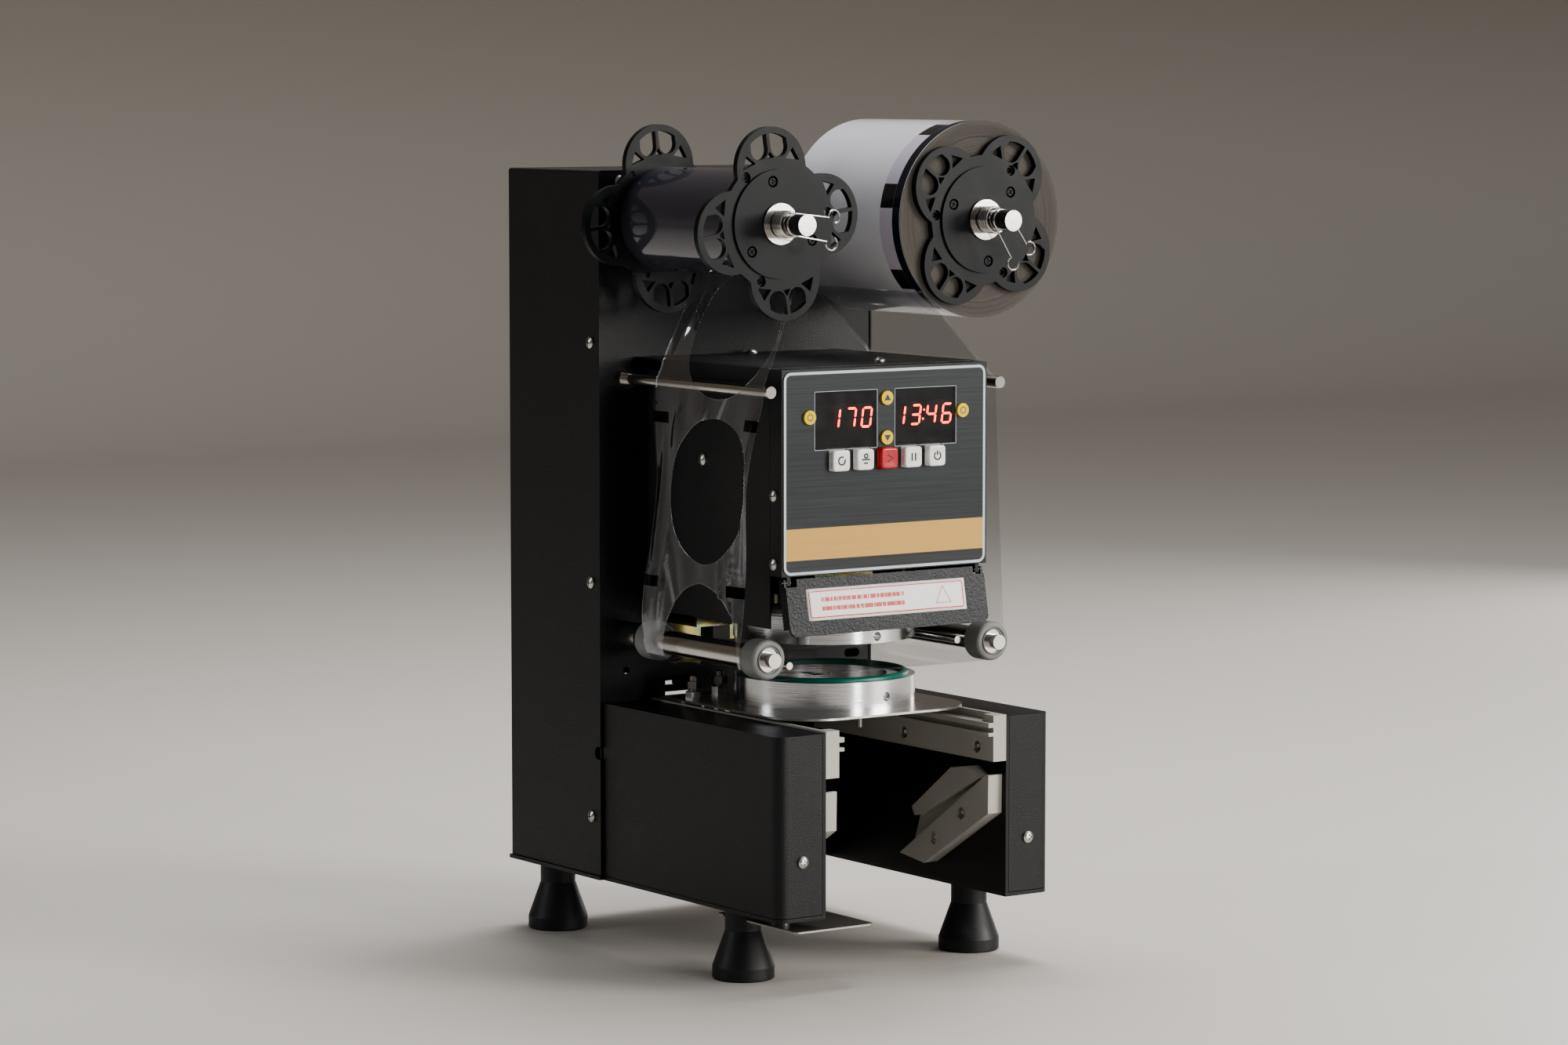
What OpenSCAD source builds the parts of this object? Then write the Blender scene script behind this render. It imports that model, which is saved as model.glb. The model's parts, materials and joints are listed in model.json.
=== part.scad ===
// Desktop cup sealing machine: a film press on a column above a sliding cup tray.
// Millimetres, +Z up, front towards -Y. The origin is on the table under the middle of the
// machine, and most places below are given from the front face of the column (see on_column).

/* [Chassis] */
// Clear width between the two legs
bay_w = 147.2; // [146:0.1:149]
// Width of each leg
leg_w = 37.7; // [37:0.1:40]
// Reach of the legs in front of the column
leg_reach = 209.5; // [208:0.5:212]
// Height of the top of the legs above the table
leg_top = 168.7; // [168:0.1:169]
// Height of the underside of the base pan above the table
base_z = 47; // [45:0.5:48]
// Width of the column
column_w = 227.2; // [226:0.2:230]
// Depth of the column
column_depth = 115.5; // [114:0.5:120]
// Height of the top of the column
column_top = 530.6; // [525:0.1:540]
// Sheet steel of the covers
sheet = 1.2; // [1:0.1:1.5]

/* [Head] */
// Width of the head
head_w = 167; // [166:0.5:168]
// Reach of the head's front plate in front of the column
head_reach = 173.4; // [173:0.1:174]
// Lower edge of the head's side covers
head_low = 233; // [231:0.5:234]
// Lower edge of the control panel
panel_low = 268.1; // [267.5:0.1:269]
// Top of the head
head_top = 404; // [402:0.5:406]
// Stroke of the press
press_stroke = 17.5; // [16:0.5:17.5]

/* [Film] */
// Distance of each reel from the middle plane
reel_x = 83.4; // [82:0.1:85]
// Height of the reels
reel_z = 498.5; // [496:0.5:500]
// Reach of the reel spindles
spindle_reach = 202.3; // [201:0.1:204]
// Diameter of the reel spindles
spindle_d = 14; // [13.5:0.5:14]
// Radius of the full film roll
supply_r = 66; // [60:0.5:66]
// Radius of the film wound on the take-up reel
takeup_r = 35; // [34:0.5:38]
// Width of the film
film_w = 130; // [128:1:130]
// Outer radius of the flower-shaped reel flanges
flange_r = 63.5; // [62:0.1:64]

/* [Cup tray] */
// Outer diameter of the cup ring and of the sealing die
ring_d = 123; // [122:0.5:124]
// Bore of the cup ring, which holds a cup with a 90 mm rim
cup_bore_d = 85; // [80:0.5:86]
// Distance of the cup's axis in front of the column
cup_reach = 103; // [102:0.5:104]
// Travel of the tray
tray_travel = 120; // [100:1:120]

/* [Hidden] */
$fn = 48;

// Colours
paint = [0.07, 0.07, 0.075];
steel = [0.78, 0.78, 0.76];
zinc = [0.72, 0.64, 0.35];
alloy = [0.82, 0.83, 0.84];
guide_grey = [0.62, 0.61, 0.57];
black_plastic = [0.13, 0.14, 0.16];

// The base and the overall frame
base_w = bay_w + 2 * leg_w;
front_reach = 213;
rear_reach = column_depth + 3;
column_y = (front_reach - rear_reach) / 2;
pan_t = 2.6;
seam = 0.4;
cover_z = base_z + pan_t + seam;
plate_t = 2.5;
leg_corner_r = 8;
face_y = 1;
face_t = 1.5;

// Feet
foot_x = 93.2;
foot_ys = [-142.8, 87.9];
foot_r = 20.7;
foot_neck_r = 12.2;
foot_pad_h = 8.5;
foot_cone_h = 32.5;

// Tray rails and the tray that runs in them
rail_t = 10.6;
rail_low = 138.9;
rail_top = leg_top + 1.3;
rib_zs = [156.1, 162];
rib_hs = [2.4, 3.2];
rib_x = bay_w / 2 - 14.7;
groove_z = 158.5;
groove_h = 3.5;
tray_z = 171.8;
tray_t = 1.5;
tray_half_w = 76.5;
tray_front = 181;
tray_back = 18;
tray_corner_r = 37;
ring_z = tray_z + tray_t;
ring_top = 192.8;
seal_r = 54.5;
seal_d = 5;
groove_depth = 2.2;

// Rack and pinion under the left side of the tray
gear_m = 1.5;
pinion_teeth = 20;
pinion_r = gear_m * pinion_teeth / 2;
pinion_y = -28;
pinion_z = 132;
rack_x = -54;
rack_w = 6;
rack_y0 = -35;
rack_y1 = 100;
tooth_pitch = PI * gear_m;
backlash = 0.14;
pinion_shaft_d = 8;

// Press
die_z = 218.6;
carriage_z = 248;
carriage_t = 6;
guide_x = 62;
guide_d = 10;
bush_d = 16;
bush_h = 30;
shelf_z = 330;
crank_z = 290;
crank_pin_d = 8;
yoke_slot_h = 9.2;
crank_shaft_d = 12;
motor_plate_y = -84;
frame_x = 79.3;
running = 0.05;

// Rods and rollers that lead the film
rod_x = 93.3;
rod_z = 389.5;
rod_d = 8;
rod_reach = 175.5;
strip_x = 70;
strip_d = 5;
strip_zs = [208, 215.7];
strip_reaches = [163, 160];
roller_x = 91.8;
roller_z = 214.2;
roller_reach = 177.8;
roller_d = 16;
axle_d = 10;
wheel_d = 26.5;
wheel_ys = [-171, -45];
wheel_w = 17;
film_t = 0.3;
film_gap = 0.3;
wrap_gap = film_gap + film_t;
film_front = 165;
core_r = 34;
core_t = 4;

// Reel flanges
flange_t = 4.5;
flange_disc_r = 43;
lobe_r = 27;
lobe_c = flange_r - lobe_r;
lobe_fillet_r = 4;
fillet_bite = 0.2;
hub_disc_r = 35.5;
hub_disc_t = 1.6;
hub_r = core_r - core_t - 0.1;
flange_front = film_front + flange_t;
washer_y = -flange_front - hub_disc_t;
washer_t = 1.5;
clip_y = -190;

// Control panel
panel_y = -head_reach - 0.5;
button_z = 342.8;
button_step = 19.5;
button_w = 14;
key_r = 4.65;
key_x = 62.3;
key_z = 372;
arrow_zs = [382.6, 356.4];
window_w = 49.4;
window_h = 37.4;
window_x = 32.4;
window_z = 369.3;
board_y = -163;
button_clear = 0.3;

// Guard flap, hung on a short pin at each end of its top edge
flap_w = 162;
flap_h = 35.6;
flap_tilt = 10.9;
flap_y = -170.4;
flap_z = 263.8;
flap_t = 1.5;
flap_face = 2;
hinge_pin_d = 3;
hinge_ear_x = 75.5;
hinge_ear_t = 3;

// Mains switch rocker
rocker_y = column_depth - 3;
rocker_z = 92.2;
rocker_tilt = 6;

// ---------------------------------------------------------------- shared shapes

module on_column() translate([0, column_y, 0]) children();

module both_sides() {
    children();
    mirror([1, 0, 0]) children();
}

// A round bar along Y
module bar_y(x, z, y0, y1, d) translate([x, y0, z]) rotate([-90, 0, 0]) cylinder(d = d, h = y1 - y0);

// A round bar along X
module bar_x(y, z, x0, x1, d) translate([x0, y, z]) rotate([0, 90, 0]) cylinder(d = d, h = x1 - x0);

// A tube along Y
module tube_y(x, z, y0, y1, outer, inner) {
    difference() {
        bar_y(x, z, y0, y1, outer);
        bar_y(x, z, y0 - 1, y1 + 1, inner);
    }
}

// A block given by two opposite corners
module block(a, b) translate(a) cube(b - a);

// A flat outline drawn in X and Z, with its front face at y and t thick
module facing(y, t) translate([0, y + t, 0]) rotate([90, 0, 0]) linear_extrude(t) children();

// A flat outline drawn in Y and Z, starting at x and t thick
module sideways(x, t) translate([x, 0, 0]) rotate([90, 0, 90]) linear_extrude(t) children();

module round_rect(w, h, r) {
    square([w - 2 * r, h], center = true);
    square([w, h - 2 * r], center = true);
    for (sx = [-1, 1], sy = [-1, 1]) translate([sx * (w / 2 - r), sy * (h / 2 - r)]) circle(r);
}

function unit(v) = v / norm(v);

// A wire of radius r along a list of points, which never run along Y
module wire(pts, r, sides = 8) {
    n = len(pts);
    ways = [for (i = [0:n - 1]) unit(pts[min(i + 1, n - 1)] - pts[max(i - 1, 0)])];
    us = [for (t = ways) unit(cross(t, [0, 1, 0]))];
    vs = [for (i = [0:n - 1]) cross(ways[i], us[i])];
    ring = [for (i = [0:n - 1], j = [0:sides - 1])
        pts[i] + r * (cos(360 * j / sides) * us[i] + sin(360 * j / sides) * vs[i])];
    walls = [for (i = [0:n - 2], j = [0:sides - 1])
        let (k = (j + 1) % sides)
        [i * sides + j, (i + 1) * sides + j, (i + 1) * sides + k, i * sides + k]];
    start = [for (j = [0:sides - 1]) j];
    end = [for (j = [0:sides - 1]) n * sides - 1 - j];
    polyhedron(points = ring, faces = concat(walls, [start, end]), convexity = 10);
}

// ---------------------------------------------------------------- screws

// A pan-head screw pointing along -Z from a face at z = 0; as a hole, its clearance hole
module pan_screw(hole, d = 4, head = 8, length = 6) {
    if (hole) {
        translate([0, 0, -length - 1]) cylinder(d = d + 0.4, h = length + 2);
    } else {
        translate([0, 0, -length]) cylinder(d = d, h = length);
        difference() {
            intersection() {
                cylinder(d = head, h = head * 0.34);
                translate([0, 0, head * 0.34 - head * 0.72]) sphere(r = head * 0.72);
            }
            for (a = [0, 90]) rotate(a) translate([-head * 0.3, -head * 0.06, head * 0.16])
                cube([head * 0.6, head * 0.12, head]);
        }
    }
}

module screw_front(x, y, z, hole) translate([x, y, z]) rotate([90, 0, 0]) pan_screw(hole);
module screw_back(x, y, z, hole) translate([x, y, z]) rotate([-90, 0, 0]) pan_screw(hole);
module screw_left(x, y, z, hole) translate([x, y, z]) rotate([0, -90, 0]) pan_screw(hole);

module column_side_screws(hole) {
    both_sides() for (z = [89.9, 250.6, 414.1]) screw_left(-column_w / 2, 10.6, z, hole);
}

module leg_front_screws(hole) both_sides() screw_front(92, -leg_reach, 86, hole);

module head_side_screws(hole) both_sides() screw_left(-head_w / 2, -81.5, 339.4, hole);

module panel_side_screws(hole) {
    both_sides() for (z = [276, 321]) screw_left(-head_w / 2, -164.5, z, hole);
}

module head_top_screws(hole) {
    for (p = [[6.5, -8], [24, -133]]) translate([p[0], p[1], head_top]) pan_screw(hole);
}

module column_front_screws(hole) {
    both_sides() for (z = [60, 523.2]) screw_front(-96.2, face_y, z, hole);
}

module back_screws(hole) {
    both_sides() for (z = [62, 290, 518]) screw_back(104, column_depth, z, hole);
}

// Hexagon bolts that hold the rails and the lift guides to the leg plates, as [y, z, x of the face]
guide_bolts = [[-108, 147.3, bay_w / 2 - rail_t], [-191, 147.3, bay_w / 2 - rail_t],
    [-174.7, 100.1, bay_w / 2 - 11.6], [-144.3, 79.3, bay_w / 2 - 11.6]];

module guide_bolt_set(hole) {
    both_sides() for (b = guide_bolts) translate([-b[2], b[0], b[1]]) rotate([0, -90, 0]) {
        if (hole) {
            translate([0, 0, -1]) cylinder(d = 9.2, h = 5, $fn = 6);
            cylinder(d = 4.4, h = 20);
        } else {
            difference() {
                translate([0, 0, 1.2]) cylinder(d = 8.6, h = 2.8, $fn = 6);
                cylinder(d = 4, h = 2.8, $fn = 6);
            }
            translate([0, 0, 3.9]) cylinder(d = 4, h = 12);
        }
    }
}

module fasteners() {
    color(steel) on_column() {
        column_side_screws(false);
        leg_front_screws(false);
        head_side_screws(false);
        panel_side_screws(false);
        head_top_screws(false);
        column_front_screws(false);
        back_screws(false);
        guide_bolt_set(false);
        for (x = [-foot_x, foot_x], y = foot_ys) translate([x, y, 0]) {
            translate([0, 0, 12]) cylinder(d = 13, h = 5, $fn = 6);
            translate([0, 0, 17]) cylinder(d = 8, h = base_z + 2);
            translate([0, 0, base_z + pan_t]) difference() {
                cylinder(d = 13, h = 6, $fn = 6);
                translate([0, 0, -1]) cylinder(d = 8, h = 9);
            }
        }
        for (p = under_plate_screws) translate([p[0], p[1], base_z]) mirror([0, 0, 1]) {
            difference() {
                cylinder(d = 9, h = 6);
                translate([0, 0, -1]) cylinder(d = 4.2, h = 9);
            }
            translate([0, 0, 7.2]) pan_screw(false, length = 6);
        }
    }
}

// ---------------------------------------------------------------- chassis

// One leg seen from above, from the bay side to the rounded outer front corner
module leg_plan(x0, inset, y1) {
    x1 = base_w / 2 - inset;
    y0 = -leg_reach + inset;
    r = leg_corner_r - inset;
    translate([x0, y0]) square([x1 - r - x0, y1 - y0]);
    translate([x0, y0 + r]) square([x1 - x0, y1 - y0 - r]);
    translate([x1 - r, y0 + r]) circle(r);
}

module base_pan() {
    color(paint) on_column() difference() {
        translate([0, 0, base_z]) linear_extrude(pan_t) {
            translate([-column_w / 2 - 1, 0]) square([column_w + 2, column_depth + 2]);
            both_sides() leg_plan(bay_w / 2, 0, 1);
        }
        for (x = [-foot_x, foot_x], y = foot_ys) translate([x, y, base_z - 1]) cylinder(d = 8.4, h = 9);
        for (i = [0:7]) block([-52, 22 + 9 * i, base_z - 1], [52, 26 + 9 * i, base_z + 9]);
    }
}

module leg_covers() {
    x0 = bay_w / 2 + plate_t + 0.3;
    color(paint) on_column() difference() {
        both_sides() difference() {
            translate([0, 0, cover_z]) linear_extrude(leg_top - cover_z) leg_plan(x0, 0, -0.3);
            translate([0, 0, cover_z - 1]) linear_extrude(leg_top - cover_z + 1 - sheet)
                leg_plan(x0 - 1, sheet, 1);
        }
        leg_front_screws(true);
    }
}

module leg_plates() {
    color(paint) on_column() difference() {
        both_sides() block([-bay_w / 2 - plate_t, -leg_reach, base_z + pan_t],
            [-bay_w / 2, face_y, leg_top]);
        guide_bolt_set(true);
        bar_x(pinion_y, pinion_z, -bay_w / 2 - 9, -bay_w / 2 + 9, pinion_shaft_d + 4);
    }
}

module column_front_plate() {
    half = column_w / 2 - sheet - 0.3;
    color(paint) on_column() difference() {
        facing(face_y, face_t) difference() {
            translate([-half, base_z + pan_t]) square([2 * half, column_top - sheet - 0.4 - base_z - pan_t]);
            for (s = [-1, 1]) {
                translate([s * reel_x, reel_z]) circle(d = 26.3);
                translate([s * roller_x, roller_z]) circle(d = 16.3);
                translate([s * rod_x, rod_z]) circle(d = rod_d + 0.2);
                translate([s * strip_x, strip_zs[(s + 1) / 2]]) circle(d = strip_d + 0.2);
            }
            translate([-60, pinion_z + pinion_r - 6]) square([20, 42]);
            translate([-40, 262]) square([80, 116]);
            translate([-91.7, 189.8]) circle(d = 5);
            translate([94, 189]) circle(d = 6);
            translate([101, 189]) circle(d = 6);
            translate([94, 186]) square([7, 6]);
        }
        column_front_screws(true);
    }
}

module column_cover() {
    w = column_w;
    r = 2;
    color(paint) on_column() difference() {
        facing(0, column_depth) difference() {
            union() {
                translate([-w / 2, cover_z]) square([w, column_top - r - cover_z]);
                translate([-w / 2 + r, cover_z]) square([w - 2 * r, column_top - cover_z]);
                for (s = [-1, 1]) translate([s * (w / 2 - r), column_top - r]) circle(r);
            }
            translate([-w / 2 + sheet, cover_z - 1])
                square([w - 2 * sheet, column_top - sheet - cover_z + 1]);
        }
        bar_x(2.5, 134.2, -w / 2 - 1, -w / 2 + 5, 9);
        bar_x(2.5, 134.2, w / 2 - 5, w / 2 + 1, 9);
        column_side_screws(true);
    }
}

module column_back_panel() {
    half = column_w / 2 - sheet - 0.3;
    color(paint) on_column() difference() {
        facing(column_depth - face_t, face_t) difference() {
            translate([-half, base_z + pan_t])
                square([2 * half, column_top - sheet - 0.4 - base_z - pan_t]);
            for (i = [0:9], z = [120, 420]) translate([-45, z + 8 * i]) {
                square([90, 3]);
                for (x = [0, 90]) translate([x, 1.5]) circle(1.5);
            }
            translate([-85, 74]) square([28.4, 34.4]);
            translate([60, 78]) square([21.4, 28.4]);
        }
        back_screws(true);
    }
}

module rubber_feet() {
    color([0.06, 0.06, 0.07]) on_column() for (x = [-foot_x, foot_x], y = foot_ys) translate([x, y, 0])
        difference() {
            rotate_extrude() polygon([[0, 0], [foot_r - 1, 0], [foot_r, 1], [foot_r, foot_pad_h],
                [foot_neck_r, foot_cone_h], [foot_neck_r, base_z], [0, base_z]]);
            translate([0, 0, -1]) cylinder(d = 15, h = 18);
            cylinder(d = 8.2, h = base_z + 1);
        }
}

module tray_rails() {
    x1 = bay_w / 2;
    color(guide_grey) on_column() difference() {
        both_sides() {
            difference() {
                block([x1 - rail_t, -leg_reach, rail_low], [x1, -2, rail_top]);
                // Pocket above the ribs, rounded at its front end
                block([x1 - rail_t - 1, -leg_reach + 14, rib_zs[1] + 3.2],
                    [x1 - 3.6, -1, rail_top + 1]);
                bar_x(-leg_reach + 14, rib_zs[1] + 3.2 + 3.4, x1 - rail_t - 1, x1 - 3.6, 6.8);
            }
            for (i = [0, 1]) block([rib_x, -leg_reach, rib_zs[i]], [x1 - rail_t, -2, rib_zs[i] + rib_hs[i]]);
        }
        guide_bolt_set(true);
    }
}

// Inclined channel blocks: two parallel bars on a thin back plate, one pair on each leg
module lift_guides() {
    x1 = bay_w / 2;
    t = 11.6;
    back_t = 4;
    lower = [[-105.3, 64.1], [-133, 60.6], [-205, 103.5], [-205.4, 129.3], [-202.3, 129.3]];
    upper = [[-119, 97.7], [-163.3, 129.9], [-180, 132.6], [-193.5, 126], [-130, 93.6], [-122.5, 92]];
    floor_plan = [[-112, 72], [-121, 97], [-190, 127], [-200, 126]];
    color(guide_grey) on_column() difference() {
        both_sides() {
            sideways(x1 - t, t) polygon(lower);
            sideways(x1 - t, t) polygon(upper);
            sideways(x1 - back_t, back_t) polygon(floor_plan);
        }
        guide_bolt_set(true);
    }
}

// Polished stainless plate held under the left leg by two spacers
under_plate_screws = [[-83.5, -174], [-79, -156]];

module under_plate() {
    color(steel) on_column() translate([0, 0, base_z - 7.2]) linear_extrude(1.2) difference() {
        translate([-68.5, -167]) round_rect(63, 92, 4);
        translate([-foot_x, foot_ys[0]]) circle(foot_neck_r + 1.5);
        translate([-101, foot_ys[0]]) square([20, 2 * foot_neck_r + 3], center = true);
        for (p = under_plate_screws) translate(p) circle(d = 4.4);
    }
}

// ---------------------------------------------------------------- head

module head_frame() {
    color(paint) on_column() difference() {
        union() {
            both_sides() block([frame_x, -154, 240], [frame_x + plate_t, face_y, 396]);
            block([-frame_x, -154, 393], [frame_x, face_y, 396]);
            block([-frame_x, motor_plate_y, 256], [frame_x, motor_plate_y + 4, 393]);
            block([-frame_x, -150, shelf_z], [frame_x, -56, shelf_z + 4]);
            block([-frame_x, -1.5, 240], [frame_x, face_y, 393]);
        }
        for (s = [-1, 1]) translate([s * guide_x, -cup_reach, shelf_z - 1]) cylinder(d = guide_d, h = 9);
        bar_y(0, crank_z, motor_plate_y - 1, motor_plate_y + 5, 22);
        block([-40, -3, 262], [40, 3, 378]);
        head_side_screws(true);
    }
}

module head_cover() {
    color(paint) on_column() difference() {
        union() {
            both_sides() block([-head_w / 2, -159.5, head_low], [-head_w / 2 + sheet, -29.5, head_top]);
            block([-head_w / 2, -159.5, head_top - sheet], [head_w / 2, -0.3, head_top]);
        }
        head_side_screws(true);
        head_top_screws(true);
    }
}

module panel_openings() {
    for (s = [-1, 1]) translate([s * window_x, window_z])
        square([window_w + 0.6, window_h + 0.6], center = true);
    for (i = [-2:2]) translate([i * button_step, button_z])
        square(button_w + 2 * button_clear, center = true);
    for (z = arrow_zs) translate([0, z]) circle(key_r + button_clear);
    for (x = [-key_x, key_x]) translate([x, key_z]) circle(key_r + button_clear);
}

module head_front_plate() {
    y = -head_reach;
    half = head_w / 2;
    top = head_top - 0.4;
    color(paint) on_column() difference() {
        union() {
            facing(y, face_t) difference() {
                translate([-half, panel_low]) square([head_w, top - panel_low]);
                panel_openings();
            }
            both_sides() block([half - sheet, y, panel_low], [half, -159.8, top]);
            block([-half, y, top - sheet], [half, -159.8, top]);
            block([-half, y, panel_low], [half, -165, panel_low + sheet]);
            // Ears that hold the guard's hinge pins
            both_sides() block([hinge_ear_x, flap_y - 1.6, flap_z - 1.9],
                [hinge_ear_x + hinge_ear_t, -165, panel_low + 0.1]);
        }
        panel_side_screws(true);
        both_sides() bar_x(flap_y, flap_z, hinge_ear_x - 1, flap_w / 2, hinge_pin_d);
    }
}

module control_panel() {
    h = head_top - 1.8 - panel_low - 0.5;
    color([0.13, 0.17, 0.2]) on_column() facing(panel_y, 0.5) difference() {
        translate([0, panel_low + 0.5 + h / 2]) round_rect(head_w - 2, h, 6);
        panel_openings();
    }
}

module display_windows() {
    color([0.1, 0.09, 0.1]) on_column() for (s = [-1, 1]) facing(panel_y - 0.1, 2)
        translate([s * window_x, window_z]) square([window_w, window_h], center = true);
}

module key_switch(x, z) translate([x, board_y - 1.8, z]) cube([6, 3.6, 6], center = true);

module circuit_boards() {
    color([0.1, 0.3, 0.18]) on_column() {
        // Display board with its two display modules and one switch behind each button
        block([-76, board_y, 335], [76, board_y + 1.6, 392]);
        for (x = [-72, 72], z = [339, 388]) bar_y(x, z, -head_reach + face_t, board_y, 6);
        for (s = [-1, 1]) block([s * window_x - 22, board_y - 8, window_z - 10],
            [s * window_x + 22, board_y, window_z + 10]);
        for (i = [-2:2]) key_switch(i * button_step, button_z);
        for (z = arrow_zs) key_switch(0, z);
        for (x = [-key_x, key_x]) key_switch(x, key_z);
        // Control board and its transformer inside the column
        block([-70, 98, 250], [70, 99.6, 400]);
        block([20, 70, 262], [62, 98, 302]);
        for (i = [0:2]) block([-60 + 26 * i, 84, 370], [-42 + 26 * i, 98, 386]);
        translate([-40, 98, 280]) rotate([90, 0, 0]) cylinder(d = 18, h = 30);
    }
}

// Guide rods, thin film rods, press guide shafts and the guard's hinge pin
module fixed_rods() {
    color(steel) on_column() {
        both_sides() {
            bar_y(rod_x, rod_z, -rod_reach, 16, rod_d);
            tube_y(rod_x, rod_z, -5, face_y, 14, rod_d);
            tube_y(rod_x, rod_z, face_y + face_t, 9, 13, rod_d);
        }
        for (s = [0, 1]) bar_y((2 * s - 1) * strip_x, strip_zs[s], -strip_reaches[s], 12, strip_d);
        both_sides() translate([guide_x, -cup_reach, 250]) cylinder(d = guide_d, h = shelf_z + 4 - 250);
        both_sides() bar_x(flap_y, flap_z, hinge_ear_x - 0.5, flap_w / 2 + 1, hinge_pin_d);
    }
}

module press_motor() {
    color([0.55, 0.55, 0.56]) on_column() difference() {
        union() {
            block([-30, motor_plate_y + 4, 262], [30, -52, 322]);
            bar_y(0, crank_z, -52, -6, 42);
        }
        bar_y(0, crank_z, motor_plate_y, -60, crank_shaft_d + 2 * running);
    }
}

// Gear motors that drive the tray's pinion, inside the left leg, and the take-up spindle
module gear_motors() {
    color([0.5, 0.5, 0.52]) on_column() {
        difference() {
            block([-base_w / 2 + 3, pinion_y - 20, 112], [-bay_w / 2 - plate_t, pinion_y + 14, 154]);
            bar_x(pinion_y, pinion_z, -base_w / 2 + 2, -bay_w / 2, pinion_shaft_d + 2 * running);
        }
        bar_y(-base_w / 2 + 20, pinion_z, pinion_y - 72, pinion_y - 20, 27);
        difference() {
            bar_y(-reel_x, reel_z, 60, 108, 37);
            bar_y(-reel_x, reel_z, 59, 84, 8 + 2 * running);
        }
    }
}

module shaft_bearings() {
    color(alloy) on_column() for (s = [-1, 1]) {
        difference() {
            union() {
                bar_y(s * reel_x, reel_z, -8, 50, 26);
                bar_y(s * reel_x, reel_z, face_y + face_t, face_y + face_t + 4, 40);
            }
            bar_y(s * reel_x, reel_z, -9, 51, spindle_d + 2 * running);
        }
        difference() {
            union() {
                bar_y(s * roller_x, roller_z, -22, face_y, 19);
                bar_y(s * roller_x, roller_z, face_y, 30, 16);
                bar_y(s * roller_x, roller_z, face_y + face_t, face_y + face_t + 6, 24);
            }
            bar_y(s * roller_x, roller_z, -23, 31, axle_d + 2 * running);
        }
    }
}

module limit_switches() {
    color([0.15, 0.15, 0.16]) on_column() {
        // Tray, press and guard microswitches
        block([-46, 8, 176], [-26, 14, 186]);
        block([60, -78, 296], [76, -68, 324]);
        block([62, -161, 273], [78, -154.5, 285]);
        // Optical sensor that reads the marks on the film
        block([-46, -37, 207], [-32, -22, 221]);
    }
}

module sensor_bracket() {
    color(zinc) on_column() difference() {
        union() {
            block([-60, -1, 206], [-4, face_y, 238]);
            block([-60, -38, 221], [-4, -1, 223]);
            block([-60, -38, 223], [-4, -36, 231]);
        }
        for (x = [-52, -12]) bar_y(x, 231, -3, 3, 4.4);
    }
}

module power_inlet() {
    z0 = 91.2;
    color([0.08, 0.08, 0.09]) on_column() {
        // Appliance inlet with its three pins and fuse drawer
        difference() {
            union() {
                block([-84.8, column_depth - 28, 74.2], [-57, column_depth, 108.2]);
                block([-88, column_depth, 71], [-54, rear_reach, 111.4]);
            }
            block([-82.8, column_depth - 16, 76], [-59, rear_reach + 1, 95]);
        }
        for (x = [-78, -70.9, -63.8])
            block([x - 1, column_depth - 16, z0 - 8], [x + 1, column_depth - 1, z0 - 2]);
        // Rocker switch frame
        difference() {
            union() {
                block([60.2, column_depth - 22, 78.2], [81.2, column_depth, 106.2]);
                block([58, column_depth, 76], [83.4, column_depth + 2, 108.4]);
            }
            block([63, column_depth - 12, 81], [78.4, rear_reach + 1, 103.4]);
        }
        bar_x(rocker_y, rocker_z, 62, 79.4, 2);
    }
}

module mains_rocker() {
    color([0.7, 0.1, 0.08]) on_column() translate([63.4, rocker_y, rocker_z]) rotate([0, 90, 0])
        rotate(rocker_tilt) linear_extrude(14.6) difference() {
            polygon([[-10, 5.2], [0, 3.6], [10, 5.2], [10.3, -0.5], [3, -4], [-3, -4], [-10.3, -0.5]]);
            circle(d = 2 + 2 * running);
        }
}

// ---------------------------------------------------------------- film

// Stops on the film's way as [x, z, signed radius]: positive where it turns anticlockwise
film_stops = [[reel_x, reel_z, supply_r + film_gap], [rod_x, rod_z, -rod_d / 2 - wrap_gap],
    [roller_x, roller_z, -wheel_d / 2 - wrap_gap], [-roller_x, roller_z, -wheel_d / 2 - wrap_gap],
    [-rod_x, rod_z, -rod_d / 2 - wrap_gap], [-reel_x, reel_z, takeup_r + film_gap]];

// Heading of the straight run between two stops
function heading(a, b, shift) =
    let (d = [b[0] - a[0], b[1] - a[1]])
    atan2(d[1], d[0]) + asin((a[2] - b[2]) / norm(d)) + shift;

function touch(s, way, off) = [s[0] + (s[2] + off) * sin(way), s[1] - (s[2] + off) * cos(way)];

headings = [for (i = [0:4]) heading(film_stops[i], film_stops[i + 1], 0)];

// Change of heading at stop i, brought between -180 and 180 degrees
function turn(i) = let (t = headings[i] - headings[i - 1]) t > 180 ? t - 360 : (t < -180 ? t + 360 : t);

function film_line(off) = concat([touch(film_stops[0], headings[0], off)],
    [for (i = [1:4], k = [0:8]) touch(film_stops[i], headings[i - 1] + turn(i) * k / 8, off)],
    [touch(film_stops[5], headings[4], off)]);

module film_web() {
    inner = film_line(film_t);
    outer = film_line(0);
    n = len(inner);
    color([0.8, 0.82, 0.85, 0.5]) on_column() facing(-film_front + 1, film_w - 2)
        polygon(concat(outer, [for (i = [0:n - 1]) inner[n - 1 - i]]));
}

module film_roll(x, r) {
    color([0.72, 0.72, 0.78]) on_column() {
        tube_y(x, reel_z, -film_front, -film_front + film_w, 2 * r, 2 * core_r);
        tube_y(x, reel_z, -film_front, -film_front + film_w, 2 * core_r, 2 * (core_r - core_t));
    }
}

// ---------------------------------------------------------------- reels

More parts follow.
